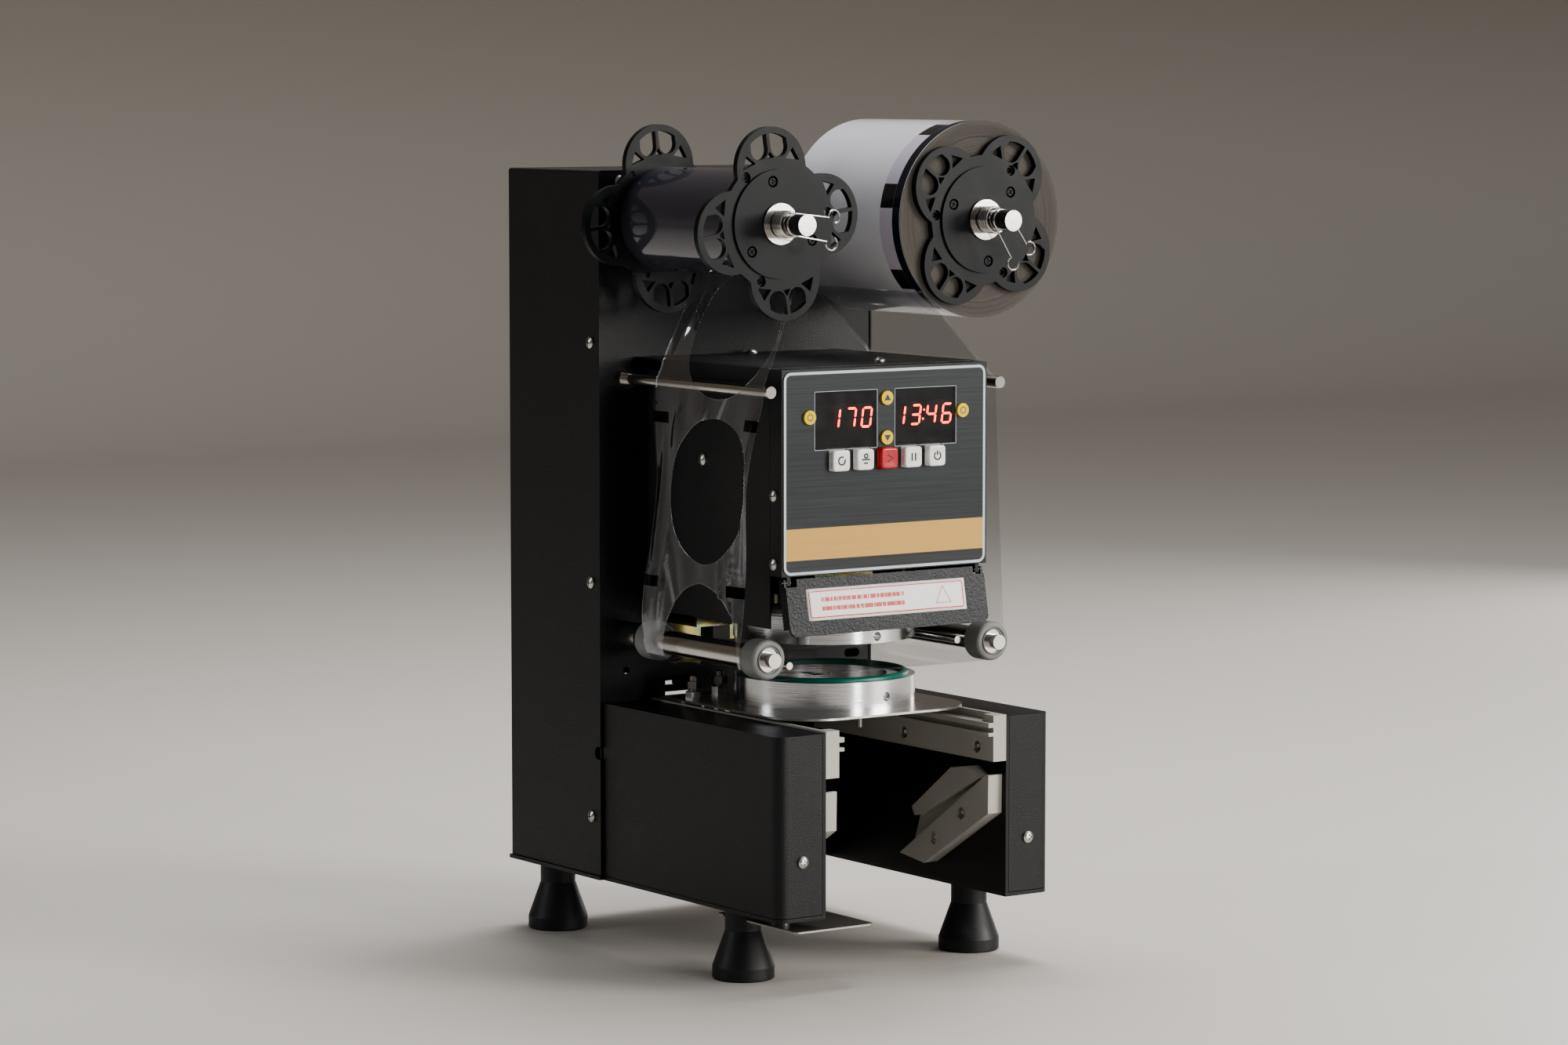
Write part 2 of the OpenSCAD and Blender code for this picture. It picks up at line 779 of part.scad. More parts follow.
// Fillet between the flange's disc and a lobe on the Y axis, on the +X side; its circle runs
// a little into both, so that the three curves cross cleanly
module lobe_fillet() {
    a = flange_disc_r + lobe_fillet_r - fillet_bite;
    b = lobe_r + lobe_fillet_r - fillet_bite;
    c = (a * a + lobe_c * lobe_c - b * b) / (2 * lobe_c);
    s = sqrt(a * a - c * c);
    difference() {
        polygon([[0, 0], [0, lobe_c], [s, c]]);
        translate([s, c]) circle(lobe_fillet_r);
    }
}

// Openings of one lobe, drawn round the lobe's centre with the lobe pointing along +Y
module lobe_openings() {
    rim_r = lobe_r - 4.3;
    for (s = [0, 1]) mirror([s, 0]) {
        intersection() {
            circle(rim_r);
            union() {
                translate([7.8, 13]) circle(6.6);
                translate([1.2, 13]) square([13, 12]);
            }
        }
        polygon([[18.4, 11], [rim_r - 0.4, 2], [11.8, 4.8]]);
    }
    polygon([[0, 11], [3, 6.6], [-3, 6.6]]);
}

module flange_plan() {
    difference() {
        union() {
            circle(flange_disc_r);
            for (k = [0:3]) rotate(90 * k) {
                translate([0, lobe_c]) circle(lobe_r);
                lobe_fillet();
                mirror([1, 0]) lobe_fillet();
            }
        }
        for (k = [0:3]) rotate(90 * k) translate([0, lobe_c]) lobe_openings();
        circle(d = spindle_d + 0.1);
    }
}

// A flange facing -Z at z = 0, with its raised disc in front and its hub behind
module flange(lobe_angle, screw_angle, boss_angle) {
    difference() {
        union() {
            linear_extrude(flange_t) rotate(lobe_angle) flange_plan();
            difference() {
                translate([0, 0, -hub_disc_t]) cylinder(r = hub_disc_r, h = flange_t + hub_disc_t + 12);
                translate([0, 0, flange_t + 2]) cylinder(r = hub_r - 3, h = 20);
                difference() {
                    translate([0, 0, flange_t]) cylinder(r = hub_disc_r + 1, h = 20);
                    translate([0, 0, flange_t - 1]) cylinder(r = hub_r, h = 22);
                }
            }
        }
        for (k = [0:2]) {
            rotate(screw_angle + 118 * k) translate([28, 0, -hub_disc_t - 1]) cylinder(d = 7.6, h = 3.4);
            rotate(boss_angle + 120 * k) translate([39.5, 0, -1]) {
                cylinder(d = 7, h = 3);
                cylinder(d = 4, h = 9);
            }
        }
        translate([0, 0, -9]) cylinder(d = spindle_d + 0.1, h = 40);
    }
    for (k = [0:2]) rotate(screw_angle + 118 * k) translate([28, 0, -hub_disc_t + 2.4]) mirror([0, 0, 1])
        difference() {
            cylinder(d1 = 6.6, d2 = 5, h = 1.9);
            for (a = [0, 90]) rotate(a) translate([-2, -0.4, 1]) cube([4, 0.8, 2]);
        }
}

module flange_pair(x, front_angle, rear_angle, screw_angle, boss_angle) {
    color(black_plastic) on_column() {
        translate([x, -flange_front, reel_z]) rotate([-90, 0, 0])
            mirror([0, 1, 0]) flange(front_angle, screw_angle, boss_angle);
        translate([x, -film_front + film_w + flange_t, reel_z]) rotate([90, 0, 0])
            flange(rear_angle, screw_angle, boss_angle);
    }
}

// A spindle with a shoulder behind the reel; the tail ends inside the film motor when it is driven
module spindle(x, tail) {
    color(steel) on_column() {
        difference() {
            bar_y(x, reel_z, -spindle_reach, 54, spindle_d);
            bar_y(x, reel_z, clip_y - 1.4, clip_y + 1.4, spindle_d + 2);
        }
        bar_y(x, reel_z, clip_y - 1.4, clip_y + 1.4, spindle_d - 2.4);
        bar_y(x, reel_z, 54, 54 + tail, 8);
        tube_y(x, reel_z, -film_front + film_w + flange_t + hub_disc_t, -10, 24, spindle_d);
    }
}

spring_turns = 5;
spring_r = 8.3;
spring_wire = 0.8;

// Hairpin clip drawn round the spindle: a leg, half a turn, a leg and an eye at each end
function clip_leg(s, spread) = let (a = s * spread, u = [cos(a), sin(a)], v = [-sin(a) * s, cos(a) * s])
    concat([for (i = [0:4]) 26 * u * i / 4 + 7.2 * v * (1 - i / 4) + 3 * v * i / 4],
        [for (k = [1:10]) 30 * u + 3 * v + 4.5 * [cos(a + 180 - s * 26 * k), sin(a + 180 - s * 26 * k)]]);

function flip(list) = [for (i = [len(list) - 1:-1:0]) list[i]];

function clip_path(spread) = concat(flip(clip_leg(-1, spread)),
    [for (k = [1:7]) let (a = 270 - spread - (180 - 2 * spread) * k / 8) 7.2 * [cos(a), sin(a)]],
    clip_leg(1, spread));

module lock_set(x, clip_angle) {
    color(steel) on_column() {
        tube_y(x, reel_z, washer_y - washer_t, washer_y, 27, spindle_d + 0.2);
        wire([for (i = [0:spring_turns * 16])
            [x + spring_r * cos(22.5 * i), washer_y - washer_t - spring_wire
                - i * 11 / (spring_turns * 16), reel_z + spring_r * sin(22.5 * i)]], spring_wire);
        translate([x, 0, reel_z]) rotate([0, clip_angle, 0]) wire([for (i = [0:len(clip_path(11)) - 1])
            [clip_path(11)[i][0], clip_y + 0.9 * (i / len(clip_path(11)) - 0.5), clip_path(11)[i][1]]], 0.6);
    }
}

module takeup_spindle() spindle(-reel_x, 28);
module takeup_flanges() flange_pair(-reel_x, -8.5 + 17, 96, 101, 10);
module takeup_film_roll() film_roll(-reel_x, takeup_r);
module takeup_lock() lock_set(-reel_x, 8);
module supply_spindle() spindle(reel_x, 6);
module supply_flanges() flange_pair(reel_x, 53, 20, 40, 55);
module supply_film_roll() film_roll(reel_x, supply_r);
module supply_lock() lock_set(reel_x, 56);

// A turned roller with reduced ends that run in the bearing at the column
module film_roller(x) {
    color(steel) on_column() {
        bar_y(x, roller_z, -roller_reach, 34, axle_d);
        tube_y(x, roller_z, wheel_ys[0] + 1, -24, roller_d, axle_d);
    }
}

module roller_wheels(x) {
    r = wheel_d / 2;
    color([0.42, 0.43, 0.42]) on_column() for (y = wheel_ys) translate([x, y, roller_z])
        rotate([-90, 0, 0]) difference() {
            rotate_extrude() difference() {
                union() {
                    translate([0, 2.5]) square([r, wheel_w - 5]);
                    square([r - 2.5, wheel_w]);
                    for (z = [2.5, wheel_w - 2.5]) translate([r - 2.5, z]) circle(2.5);
                }
                translate([-5, -1]) square([5, wheel_w + 2]);
                translate([8.6, -1]) square([1, 1.8]);
            }
            translate([0, 0, -1]) cylinder(d = roller_d, h = wheel_w + 2);
        }
}

module left_film_roller() film_roller(-roller_x);
module left_roller_wheels() roller_wheels(-roller_x);
module right_film_roller() film_roller(roller_x);
module right_roller_wheels() roller_wheels(roller_x);

// ---------------------------------------------------------------- cup tray

bolt_spots = [[-36, -30], [36, -30], [-66, -43], [66, -43]];

module tray_plate() {
    r = tray_corner_r;
    color(steel) on_column() translate([0, 0, tray_z]) linear_extrude(tray_t) difference() {
        union() {
            translate([-tray_half_w, -tray_front + r])
                square([2 * tray_half_w, tray_front - tray_back - r]);
            translate([-tray_half_w + r, -tray_front]) square([2 * (tray_half_w - r), r + 1]);
            for (s = [-1, 1]) translate([s * (tray_half_w - r), -tray_front + r]) circle(r);
        }
        translate([0, -cup_reach]) circle(d = cup_bore_d + 4);
        for (p = bolt_spots) translate(p) circle(d = 6.4);
    }
}

module cup_ring() {
    h = ring_top - ring_z;
    color(alloy) on_column() translate([0, -cup_reach, ring_z]) difference() {
        cylinder(d = ring_d, h = h, $fn = 96);
        // Fine line where the base flange ends
        translate([0, 0, 4]) rotate_extrude() translate([ring_d / 2 - 0.4, 0]) square([1, 0.5]);
        translate([0, 0, h - groove_depth]) rotate_extrude() translate([seal_r - seal_d / 2 - 0.1, 0])
            square([seal_d + 0.2, groove_depth + 1]);
        translate([0, 0, -1]) cylinder(d = cup_bore_d, h = h + 2);
        rotate(7.5) rotate([90, 0, 0]) translate([0, h / 2 - 1, ring_d / 2 - 9]) cylinder(d = 6, h = 12);
    }
}

module cup_ring_seal() {
    z = ring_top - groove_depth + seal_d / 2 + 0.05;
    color([0.02, 0.45, 0.38]) on_column() translate([0, -cup_reach, z])
        rotate_extrude() translate([seal_r, 0]) circle(d = seal_d);
}

// Angle brackets under the tray, each with a tongue in its rail's groove
module tray_runners() {
    web = rib_x - 0.6;
    color(alloy) on_column() both_sides() for (y = [-70, -30]) {
        block([web - 3.2, y, groove_z + 0.3], [web, y + 12, tray_z]);
        block([web, y, tray_z - 3], [web + 9, y + 12, tray_z]);
        block([web, y, groove_z + 0.3], [web + 4.2, y + 12, groove_z + groove_h - 0.3]);
    }
}

// Half angle of a pinion tooth at radius r, from the involute of the base circle
function involute_deg(r, base) = let (a = acos(min(1, base / r))) tan(a) * 180 / PI - a;

module pinion_plan() {
    base = pinion_r * cos(20);
    root = pinion_r - 1.25 * gear_m;
    tip = pinion_r + gear_m;
    half = 90 / pinion_teeth - backlash / 2 / pinion_r * 180 / PI;
    rs = [root, base, for (k = [1:4]) base + (tip - base) * k / 4];
    as = [for (r = rs) half + involute_deg(pinion_r, base) - involute_deg(max(r, base), base)];
    polygon([for (t = [0:pinion_teeth - 1], i = [0:2 * len(rs) - 1])
        let (k = i < len(rs) ? i : 2 * len(rs) - 1 - i, s = i < len(rs) ? -1 : 1)
        let (a = 360 * t / pinion_teeth + s * as[k])
        rs[k] * [sin(a), cos(a)]]);
}

module tray_pinion() {
    x0 = -bay_w / 2 - plate_t - 26;
    color(steel) on_column() {
        translate([rack_x, pinion_y, pinion_z]) rotate([90, 0, 90]) linear_extrude(rack_w) pinion_plan();
        bar_x(pinion_y, pinion_z, x0, rack_x, pinion_shaft_d);
    }
}

module tray_rack() {
    line_z = pinion_z + pinion_r;
    root_z = line_z + 1.25 * gear_m;
    tip_z = line_z - gear_m;
    half = tooth_pitch / 4 - backlash / 2;
    lean = tan(20);
    count = floor((rack_y1 - rack_y0) / tooth_pitch) - 1;
    // Teeth stand half a pitch from the pinion's top tooth
    first = ceil((rack_y0 - pinion_y) / tooth_pitch) + 0.5;
    color(steel) on_column() sideways(rack_x, rack_w) {
        polygon(concat([[rack_y1, root_z], [rack_y1, root_z + 7], [rack_y0, root_z + 7], [rack_y0, root_z]],
            [for (i = [0:count - 1], q = [[-1, root_z], [-1, tip_z], [1, tip_z], [1, root_z]])
                let (y = pinion_y + (first + i) * tooth_pitch)
                [y + q[0] * (half + (q[1] - line_z) * lean), q[1]]]));
        translate([rack_y0, root_z + 6.9]) square([9, tray_z - root_z - 6.9]);
    }
}

module tray_bolts() {
    color(steel) on_column() {
        for (p = bolt_spots) translate([p[0], p[1], tray_z]) {
            translate([0, 0, -5]) cylinder(d = 6, h = 22);
            for (z = [tray_t, tray_t + 7]) translate([0, 0, z]) rotate(30 * z) difference() {
                cylinder(d = 11.5, h = 5, $fn = 6);
                translate([0, 0, -1]) cylinder(d = 6, h = 9);
            }
        }
        // Stop pin under the front edge
        translate([-20, -172, tray_z - 7]) cylinder(d = 4, h = 7);
    }
}

// ---------------------------------------------------------------- press

module press_carriage() {
    slot_z = crank_z + press_stroke / 2;
    color(zinc) on_column() difference() {
        union() {
            translate([0, 0, carriage_z]) linear_extrude(carriage_t) translate([0, -cup_reach])
                round_rect(146, 90, 8);
            both_sides() translate([guide_x, -cup_reach, carriage_z + carriage_t - 0.1])
                cylinder(d = bush_d, h = bush_h);
            block([-14, -112, carriage_z + carriage_t - 0.1], [34, -103, 312]);
        }
        both_sides() translate([guide_x, -cup_reach, carriage_z - 1])
            cylinder(d = guide_d + 2 * running, h = 60);
        block([9, -113, slot_z - yoke_slot_h / 2], [24, -102, slot_z + yoke_slot_h / 2]);
    }
}

module heater_block() {
    color(alloy) on_column() translate([0, -cup_reach, 0]) difference() {
        translate([0, 0, 224]) cylinder(d = 92, h = carriage_z - 224);
        for (x = [-22, 22]) translate([x, 50, 236]) rotate([90, 0, 0]) cylinder(d = 8, h = 100);
    }
}

module die_ring() {
    color(alloy) on_column() translate([0, -cup_reach, die_z]) difference() {
        cylinder(d = ring_d, h = carriage_z - die_z, $fn = 96);
        translate([0, 0, -1]) cylinder(d = 99, h = 60);
        rotate([90, 0, 0]) translate([0, 4.4, ring_d / 2 - 9]) cylinder(d = 6, h = 12);
    }
}

// Saw-edged ring that cuts the film round the cup
module cutter_ring() {
    teeth = 48;
    color(steel) on_column() translate([0, -cup_reach, 220]) difference() {
        cylinder(d = 98.4, h = carriage_z - 220);
        translate([0, 0, -1]) cylinder(d = 95.4, h = 60);
        for (k = [0:teeth - 1]) rotate(360 * (k + 0.5) / teeth) translate([0, 40, 0]) rotate([-90, 0, 0])
            linear_extrude(12) polygon([[-1.9, 1], [1.9, 1], [0, -2.2]]);
    }
}

module press_crank() {
    r = press_stroke;
    color(steel) on_column() {
        bar_y(0, crank_z, -100, -90, 54);
        bar_y(0, crank_z, -90, -61, crank_shaft_d);
        bar_y(r * cos(30), crank_z + r * sin(30), -115, -100, crank_pin_d);
    }
}

// ---------------------------------------------------------------- guard and buttons

module guard_flap() {
    half = flap_w / 2;
    r = 5;
    color(paint) on_column() translate([0, flap_y, flap_z]) rotate([-flap_tilt, 0, 0]) difference() {
        union() {
            // Face with rounded lower corners, cut away at the top round the fixed ears
            translate([0, -flap_face, 0]) rotate([90, 0, 0]) linear_extrude(flap_t) difference() {
                union() {
                    translate([-half, -flap_h + r]) square([flap_w, flap_h - r + 2]);
                    translate([-half + r, -flap_h]) square([flap_w - 2 * r, r + 1]);
                    for (s = [-1, 1]) translate([s * (half - r), -flap_h + r]) circle(r);
                }
                for (s = [-1, 1]) translate([s * (half - 2), 0]) square([14, 6.4], center = true);
            }
            // Returned lower lip and the side flanges that carry the hinge pins
            block([-half + r, -flap_face, -flap_h], [half - r, 2, -flap_h + flap_t]);
            both_sides() {
                block([-half, -flap_face, -flap_h + r], [-half + flap_t, 4, -3.2]);
                block([-half, -1.9, -4], [-half + flap_t, 4, 2]);
            }
        }
        bar_x(0, 0, -half - 1, half + 1, hinge_pin_d + 2 * running);
    }
}

// A square cap: its body through the panel, a retaining flange and a stem
module square_button(i) {
    x = i * button_step;
    color([0.92, 0.92, 0.9]) on_column() {
        facing(-178.6, 7.1) translate([x, button_z]) round_rect(button_w, button_w, 1.6);
        facing(-171.5, 1.2) translate([x, button_z]) square(button_w + 1.6, center = true);
        bar_y(x, button_z, -170.3, -168.4, 4);
    }
}

module round_key(x, z) {
    color([0.9, 0.75, 0.1]) on_column() {
        bar_y(x, z, -175.6, -171.5, 2 * key_r);
        bar_y(x, z, -171.5, -170.3, 2 * key_r + 1.6);
        bar_y(x, z, -170.3, -168.4, 3);
    }
}

module auto_button() square_button(-2);
module film_button() square_button(-1);
module start_button() square_button(0);
module pause_button() square_button(1);
module power_button() square_button(2);
module setup_key() round_key(-key_x, key_z);
module counter_key() round_key(key_x, key_z);
module up_key() round_key(0, arrow_zs[0]);
module down_key() round_key(0, arrow_zs[1]);

base_pan();
leg_covers();
leg_plates();
column_front_plate();
column_cover();
column_back_panel();
rubber_feet();
tray_rails();
lift_guides();
fasteners();
under_plate();
head_frame();
head_cover();
head_front_plate();
control_panel();
display_windows();
circuit_boards();
fixed_rods();
press_motor();
gear_motors();
shaft_bearings();
limit_switches();
sensor_bracket();
power_inlet();
film_web();
tray_plate();
cup_ring();
cup_ring_seal();
tray_runners();
tray_rack();
tray_bolts();
press_carriage();
heater_block();
die_ring();
cutter_ring();
press_crank();
tray_pinion();
guard_flap();
takeup_spindle();
takeup_flanges();
takeup_film_roll();
takeup_lock();
supply_spindle();
supply_flanges();
supply_film_roll();
supply_lock();
left_film_roller();
left_roller_wheels();
right_film_roller();
right_roller_wheels();
auto_button();
film_button();
start_button();
pause_button();
power_button();
setup_key();
up_key();
down_key();
counter_key();
mains_rocker();
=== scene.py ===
"""Looks of the desktop cup sealing machine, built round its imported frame.

Sizes are in metres, +Z up, front towards -Y, as in the frame. mm() turns millimetres into metres.
"""
import json
import math

import bmesh
import bpy
import numpy as np
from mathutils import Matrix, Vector


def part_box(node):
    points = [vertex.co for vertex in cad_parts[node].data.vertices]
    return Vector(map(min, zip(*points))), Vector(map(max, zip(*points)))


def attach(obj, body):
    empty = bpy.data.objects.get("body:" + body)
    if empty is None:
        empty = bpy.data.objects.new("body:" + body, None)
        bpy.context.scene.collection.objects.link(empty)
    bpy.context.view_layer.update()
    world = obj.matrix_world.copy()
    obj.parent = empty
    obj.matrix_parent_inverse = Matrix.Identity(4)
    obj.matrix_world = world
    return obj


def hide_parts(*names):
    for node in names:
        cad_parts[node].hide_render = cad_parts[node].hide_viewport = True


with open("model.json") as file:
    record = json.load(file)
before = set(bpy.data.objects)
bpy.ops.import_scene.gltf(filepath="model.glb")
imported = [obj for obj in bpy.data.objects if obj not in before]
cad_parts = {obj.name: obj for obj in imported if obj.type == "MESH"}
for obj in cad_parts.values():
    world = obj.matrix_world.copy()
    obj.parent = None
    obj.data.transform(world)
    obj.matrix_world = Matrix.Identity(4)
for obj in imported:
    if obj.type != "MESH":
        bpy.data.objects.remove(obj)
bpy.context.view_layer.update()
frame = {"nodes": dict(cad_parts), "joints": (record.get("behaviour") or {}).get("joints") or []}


def mm(*values):
    """Millimetres in metres, as one number or a tuple."""
    return values[0] / 1000 if len(values) == 1 else tuple(v / 1000 for v in values)


# ---------------------------------------------------------------- studio and camera
# A pale seamless sheet runs from the table up behind the machine. One wide soft light stands in
# front on the right, a weaker one above, and the camera looks down a little from the left.

# The column's front face, from which the machine's depths are given
COLUMN_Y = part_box("column_cover")[0].y
EYE = Vector((-1.84281, -2.71114 + COLUMN_Y, 0.59611))
SIGHT = Vector((0.567595, 0.817915, -0.094081))
LENS_MM = 109.26


def face_out(mesh):
    """Turns a closed mesh's faces outwards: its signed volume must be positive."""
    shell = bmesh.new()
    shell.from_mesh(mesh)
    if shell.calc_volume(signed=True) < 0:
        mesh.flip_normals()
    shell.free()


def surface(name, points, wrap_u=False, wrap_v=False, caps=False, smooth=True):
    """A mesh from an array of points (rows, columns, 3).

    Rows and columns join round where wrap_u or wrap_v says, and caps closes the first and last
    row with a flat face each.
    """
    rows, cols = points.shape[:2]
    index = np.arange(rows * cols).reshape(rows, cols)
    if wrap_u:
        index = np.concatenate([index, index[:1]], axis=0)
    if wrap_v:
        index = np.concatenate([index, index[:, :1]], axis=1)
    quads = np.stack([index[:-1, :-1], index[:-1, 1:], index[1:, 1:], index[1:, :-1]], axis=-1)
    faces = quads.reshape(-1, 4).tolist()
    if caps:
        ring = np.arange(rows * cols).reshape(rows, cols)
        faces += [ring[0][::-1].tolist(), ring[-1].tolist()]
    mesh = bpy.data.meshes.new(name)
    mesh.from_pydata(points.reshape(-1, 3).tolist(), [], faces)
    mesh.update()
    if caps or (wrap_u and wrap_v):
        face_out(mesh)
    mesh.polygons.foreach_set("use_smooth", [smooth] * len(mesh.polygons))
    piece = bpy.data.objects.new(name, mesh)
    bpy.context.scene.collection.objects.link(piece)
    return piece


def add(tree, kind, inputs=None, **settings):
    """A shader node; inputs holds numbers, colours or the sockets that feed it."""
    node = tree.nodes.new(kind)
    for key, value in settings.items():
        setattr(node, key, value)
    for key, value in (inputs or {}).items():
        if isinstance(value, bpy.types.NodeSocket):
            tree.links.new(value, node.inputs[key])
        else:
            node.inputs[key].default_value = value
    return node


def calc(tree, operation, *values):
    """One Math node's output."""
    return add(tree, "ShaderNodeMath", dict(enumerate(values)), operation=operation).outputs[0]


def blend_colour(tree, share, a, b):
    """Colour a where share is 0 and b where it is 1."""
    return add(tree, "ShaderNodeMix", {0: share, 6: a, 7: b}, data_type="RGBA").outputs[2]


def ramp(tree, value, low, high):
    """Rises smoothly from 0 at low to 1 at high."""
    return add(tree, "ShaderNodeMapRange", {0: value, 1: low, 2: high},
               interpolation_type="SMOOTHSTEP").outputs[0]


def split(tree, vector):
    """The X, Y and Z outputs of a vector."""
    return add(tree, "ShaderNodeSeparateXYZ", {0: vector}).outputs


def feed(tree, shader, socket, value):
    """Links a value to one of the shader's own sockets."""
    tree.links.new(value, shader.inputs[socket])


def new_material(name, colour, **inputs):
    """A material with one Principled shader; returns it with its node tree and shader."""
    material = bpy.data.materials.new(name)
    material.use_nodes = True
    tree = material.node_tree
    shader = next(n for n in tree.nodes if n.type == "BSDF_PRINCIPLED")
    shader.inputs["Base Color"].default_value = (*colour, 1)
    for key, value in inputs.items():
        shader.inputs[key.replace("_", " ")].default_value = value
    return material, tree, shader


def place(tree, location=(0, 0, 0), scale=(1, 1, 1)):
    """Object coordinates, moved so that location is the centre, then scaled."""
    coords = add(tree, "ShaderNodeTexCoord").outputs["Object"]
    moved = add(tree, "ShaderNodeVectorMath", {0: coords, 1: location}, operation="SUBTRACT")
    return add(tree, "ShaderNodeMapping", {"Vector": moved.outputs[0], "Scale": scale}).outputs[0]


def backdrop_profile(run, rise, bend, count):
    """Depth and height along the sheet: flat, a quarter circle, then upright."""
    turn = np.linspace(0, math.pi / 2, count)
    depth = np.concatenate([[-7.0], run + bend * np.sin(turn), [run + bend]])
    height = np.concatenate([[0.0], bend * (1 - np.cos(turn)), [rise]])
    return depth, height


depth, height = backdrop_profile(run=3.9, rise=6.0, bend=1.4, count=24)
across = np.array([-9.0, 9.0])
sheet = np.broadcast_arrays(across[None, :], depth[:, None], height[:, None])
backdrop = surface("backdrop", np.stack(sheet, axis=-1))
backdrop_look, tree, shader = new_material("backdrop_paper", (0.50, 0.46, 0.41), Roughness=0.42)
tone = split(tree, place(tree))
feed(tree, shader, "Base Color", blend_colour(tree, ramp(tree, tone[2], 0.0, 1.1),
                                              (0.62, 0.585, 0.545, 1), (0.33, 0.285, 0.235, 1)))
backdrop.data.materials.append(backdrop_look)


def soft_light(name, place_at, target, size, power, colour=(1, 1, 1)):
    """A rectangular area light that faces target."""
    light = bpy.data.lights.new(name, "AREA")
    light.shape = "RECTANGLE"
    light.size, light.size_y = size
    light.energy = power
    light.color = colour
    lamp = bpy.data.objects.new(name, light)
    lamp.location = place_at
    lamp.rotation_euler = (Vector(target) - Vector(place_at)).to_track_quat("-Z", "Y").to_euler()
    bpy.context.scene.collection.objects.link(lamp)


soft_light("window_light", (1.9, -2.3, 1.3), (0, -0.1, 0.3), (1.2, 1.8), 66, (1.0, 0.97, 0.93))
soft_light("front_strip", (0.35, -2.7, 0.7), (0, 0, 0.25), (0.22, 1.5), 15)
soft_light("overhead", (0.5, 0.4, 2.3), (0, 0, 0.4), (1.5, 1.0), 40, (0.97, 0.98, 1.0))
soft_light("left_edge", (-2.3, 0.9, 1.3), (0, 0, 0.3), (0.3, 1.6), 9, (0.93, 0.96, 1.0))
soft_light("right_edge", (2.2, 1.0, 0.9), (0, 0, 0.3), (0.4, 1.6), 10)
world = bpy.data.worlds.new("room")
world.use_nodes = True
sky = world.node_tree
way = split(sky, add(sky, "ShaderNodeTexCoord").outputs["Generated"])
air = blend_colour(sky, ramp(sky, way[0], -0.7, 0.8), (0.13, 0.13, 0.135, 1), (0.42, 0.41, 0.39, 1))
sky.links.new(air, sky.nodes["Background"].inputs["Color"])
sky.nodes["Background"].inputs["Strength"].default_value = 0.8
bpy.context.scene.world = world

camera = bpy.data.objects.new("camera", bpy.data.cameras.new("camera"))
camera.data.lens = LENS_MM
camera.data.sensor_width = 36
camera.data.clip_end = 30
camera.location = EYE
camera.rotation_euler = SIGHT.to_track_quat("-Z", "Y").to_euler()
bpy.context.scene.collection.objects.link(camera)
bpy.context.scene.camera = camera
bpy.context.scene.view_settings.view_transform = "AgX"
bpy.context.scene.view_settings.look = "AgX - Medium High Contrast"
bpy.context.scene.view_settings.exposure = 0.25

# ---------------------------------------------------------------- painted sheet steel
# The covers, plates and base are folded steel sheet with a black powder coat. The coat has
# a fine orange-peel grain, and the guard flap a coarser hammered one with small bright flecks.


def new_group(name, inputs, outputs):
    """A shader node group with named sockets; returns the group and its two end nodes."""
    group = bpy.data.node_groups.new(name, "ShaderNodeTree")
    for label, kind, value in inputs:
        socket = group.interface.new_socket(name=label, in_out="INPUT", socket_type=kind)
        socket.default_value = value
    for label, kind in outputs:
        group.interface.new_socket(name=label, in_out="OUTPUT", socket_type=kind)
    return group, group.nodes.new("NodeGroupInput"), group.nodes.new("NodeGroupOutput")


def use_group(tree, group, inputs):
    """The group placed in a tree, with its inputs set or fed."""
    return add(tree, "ShaderNodeGroup", inputs, node_tree=group)


def noise(tree, vector, scale, detail=2.0, distortion=0.0):
    """A noise texture's value."""
    return add(tree, "ShaderNodeTexNoise", {"Vector": vector, "Scale": scale, "Detail": detail,
                                            "Distortion": distortion}).outputs[0]


def bumpy(tree, shader, height, strength, reach):
    """Relief from a height, with the given strength and reach in metres."""
    bump = add(tree, "ShaderNodeBump", {"Height": height, "Strength": strength, "Distance": reach})
    feed(tree, shader, "Normal", bump.outputs[0])


# Pebbled grain: rounded cells over a finer noise, with a slow drift of tone
coat_grain, entry, leave = new_group(
    "coat_grain",
    [("Vector", "NodeSocketVector", (0, 0, 0)), ("Size", "NodeSocketFloat", 1400.0)],
    [("Height", "NodeSocketFloat"), ("Fleck", "NodeSocketFloat"), ("Drift", "NodeSocketFloat")])
cells = add(coat_grain, "ShaderNodeTexVoronoi",
            {"Vector": entry.outputs["Vector"], "Scale": entry.outputs["Size"]}, feature="SMOOTH_F1")
fine = noise(coat_grain, entry.outputs["Vector"], entry.outputs["Size"], 2.0)
slow = noise(coat_grain, entry.outputs["Vector"], 22.0, 3.0)
pebble = calc(coat_grain, "ADD", cells.outputs["Distance"],
              calc(coat_grain, "MULTIPLY", fine, 0.7))
coat_grain.links.new(pebble, leave.inputs["Height"])
coat_grain.links.new(ramp(coat_grain, fine, 0.56, 0.68), leave.inputs["Fleck"])
coat_grain.links.new(slow, leave.inputs["Drift"])


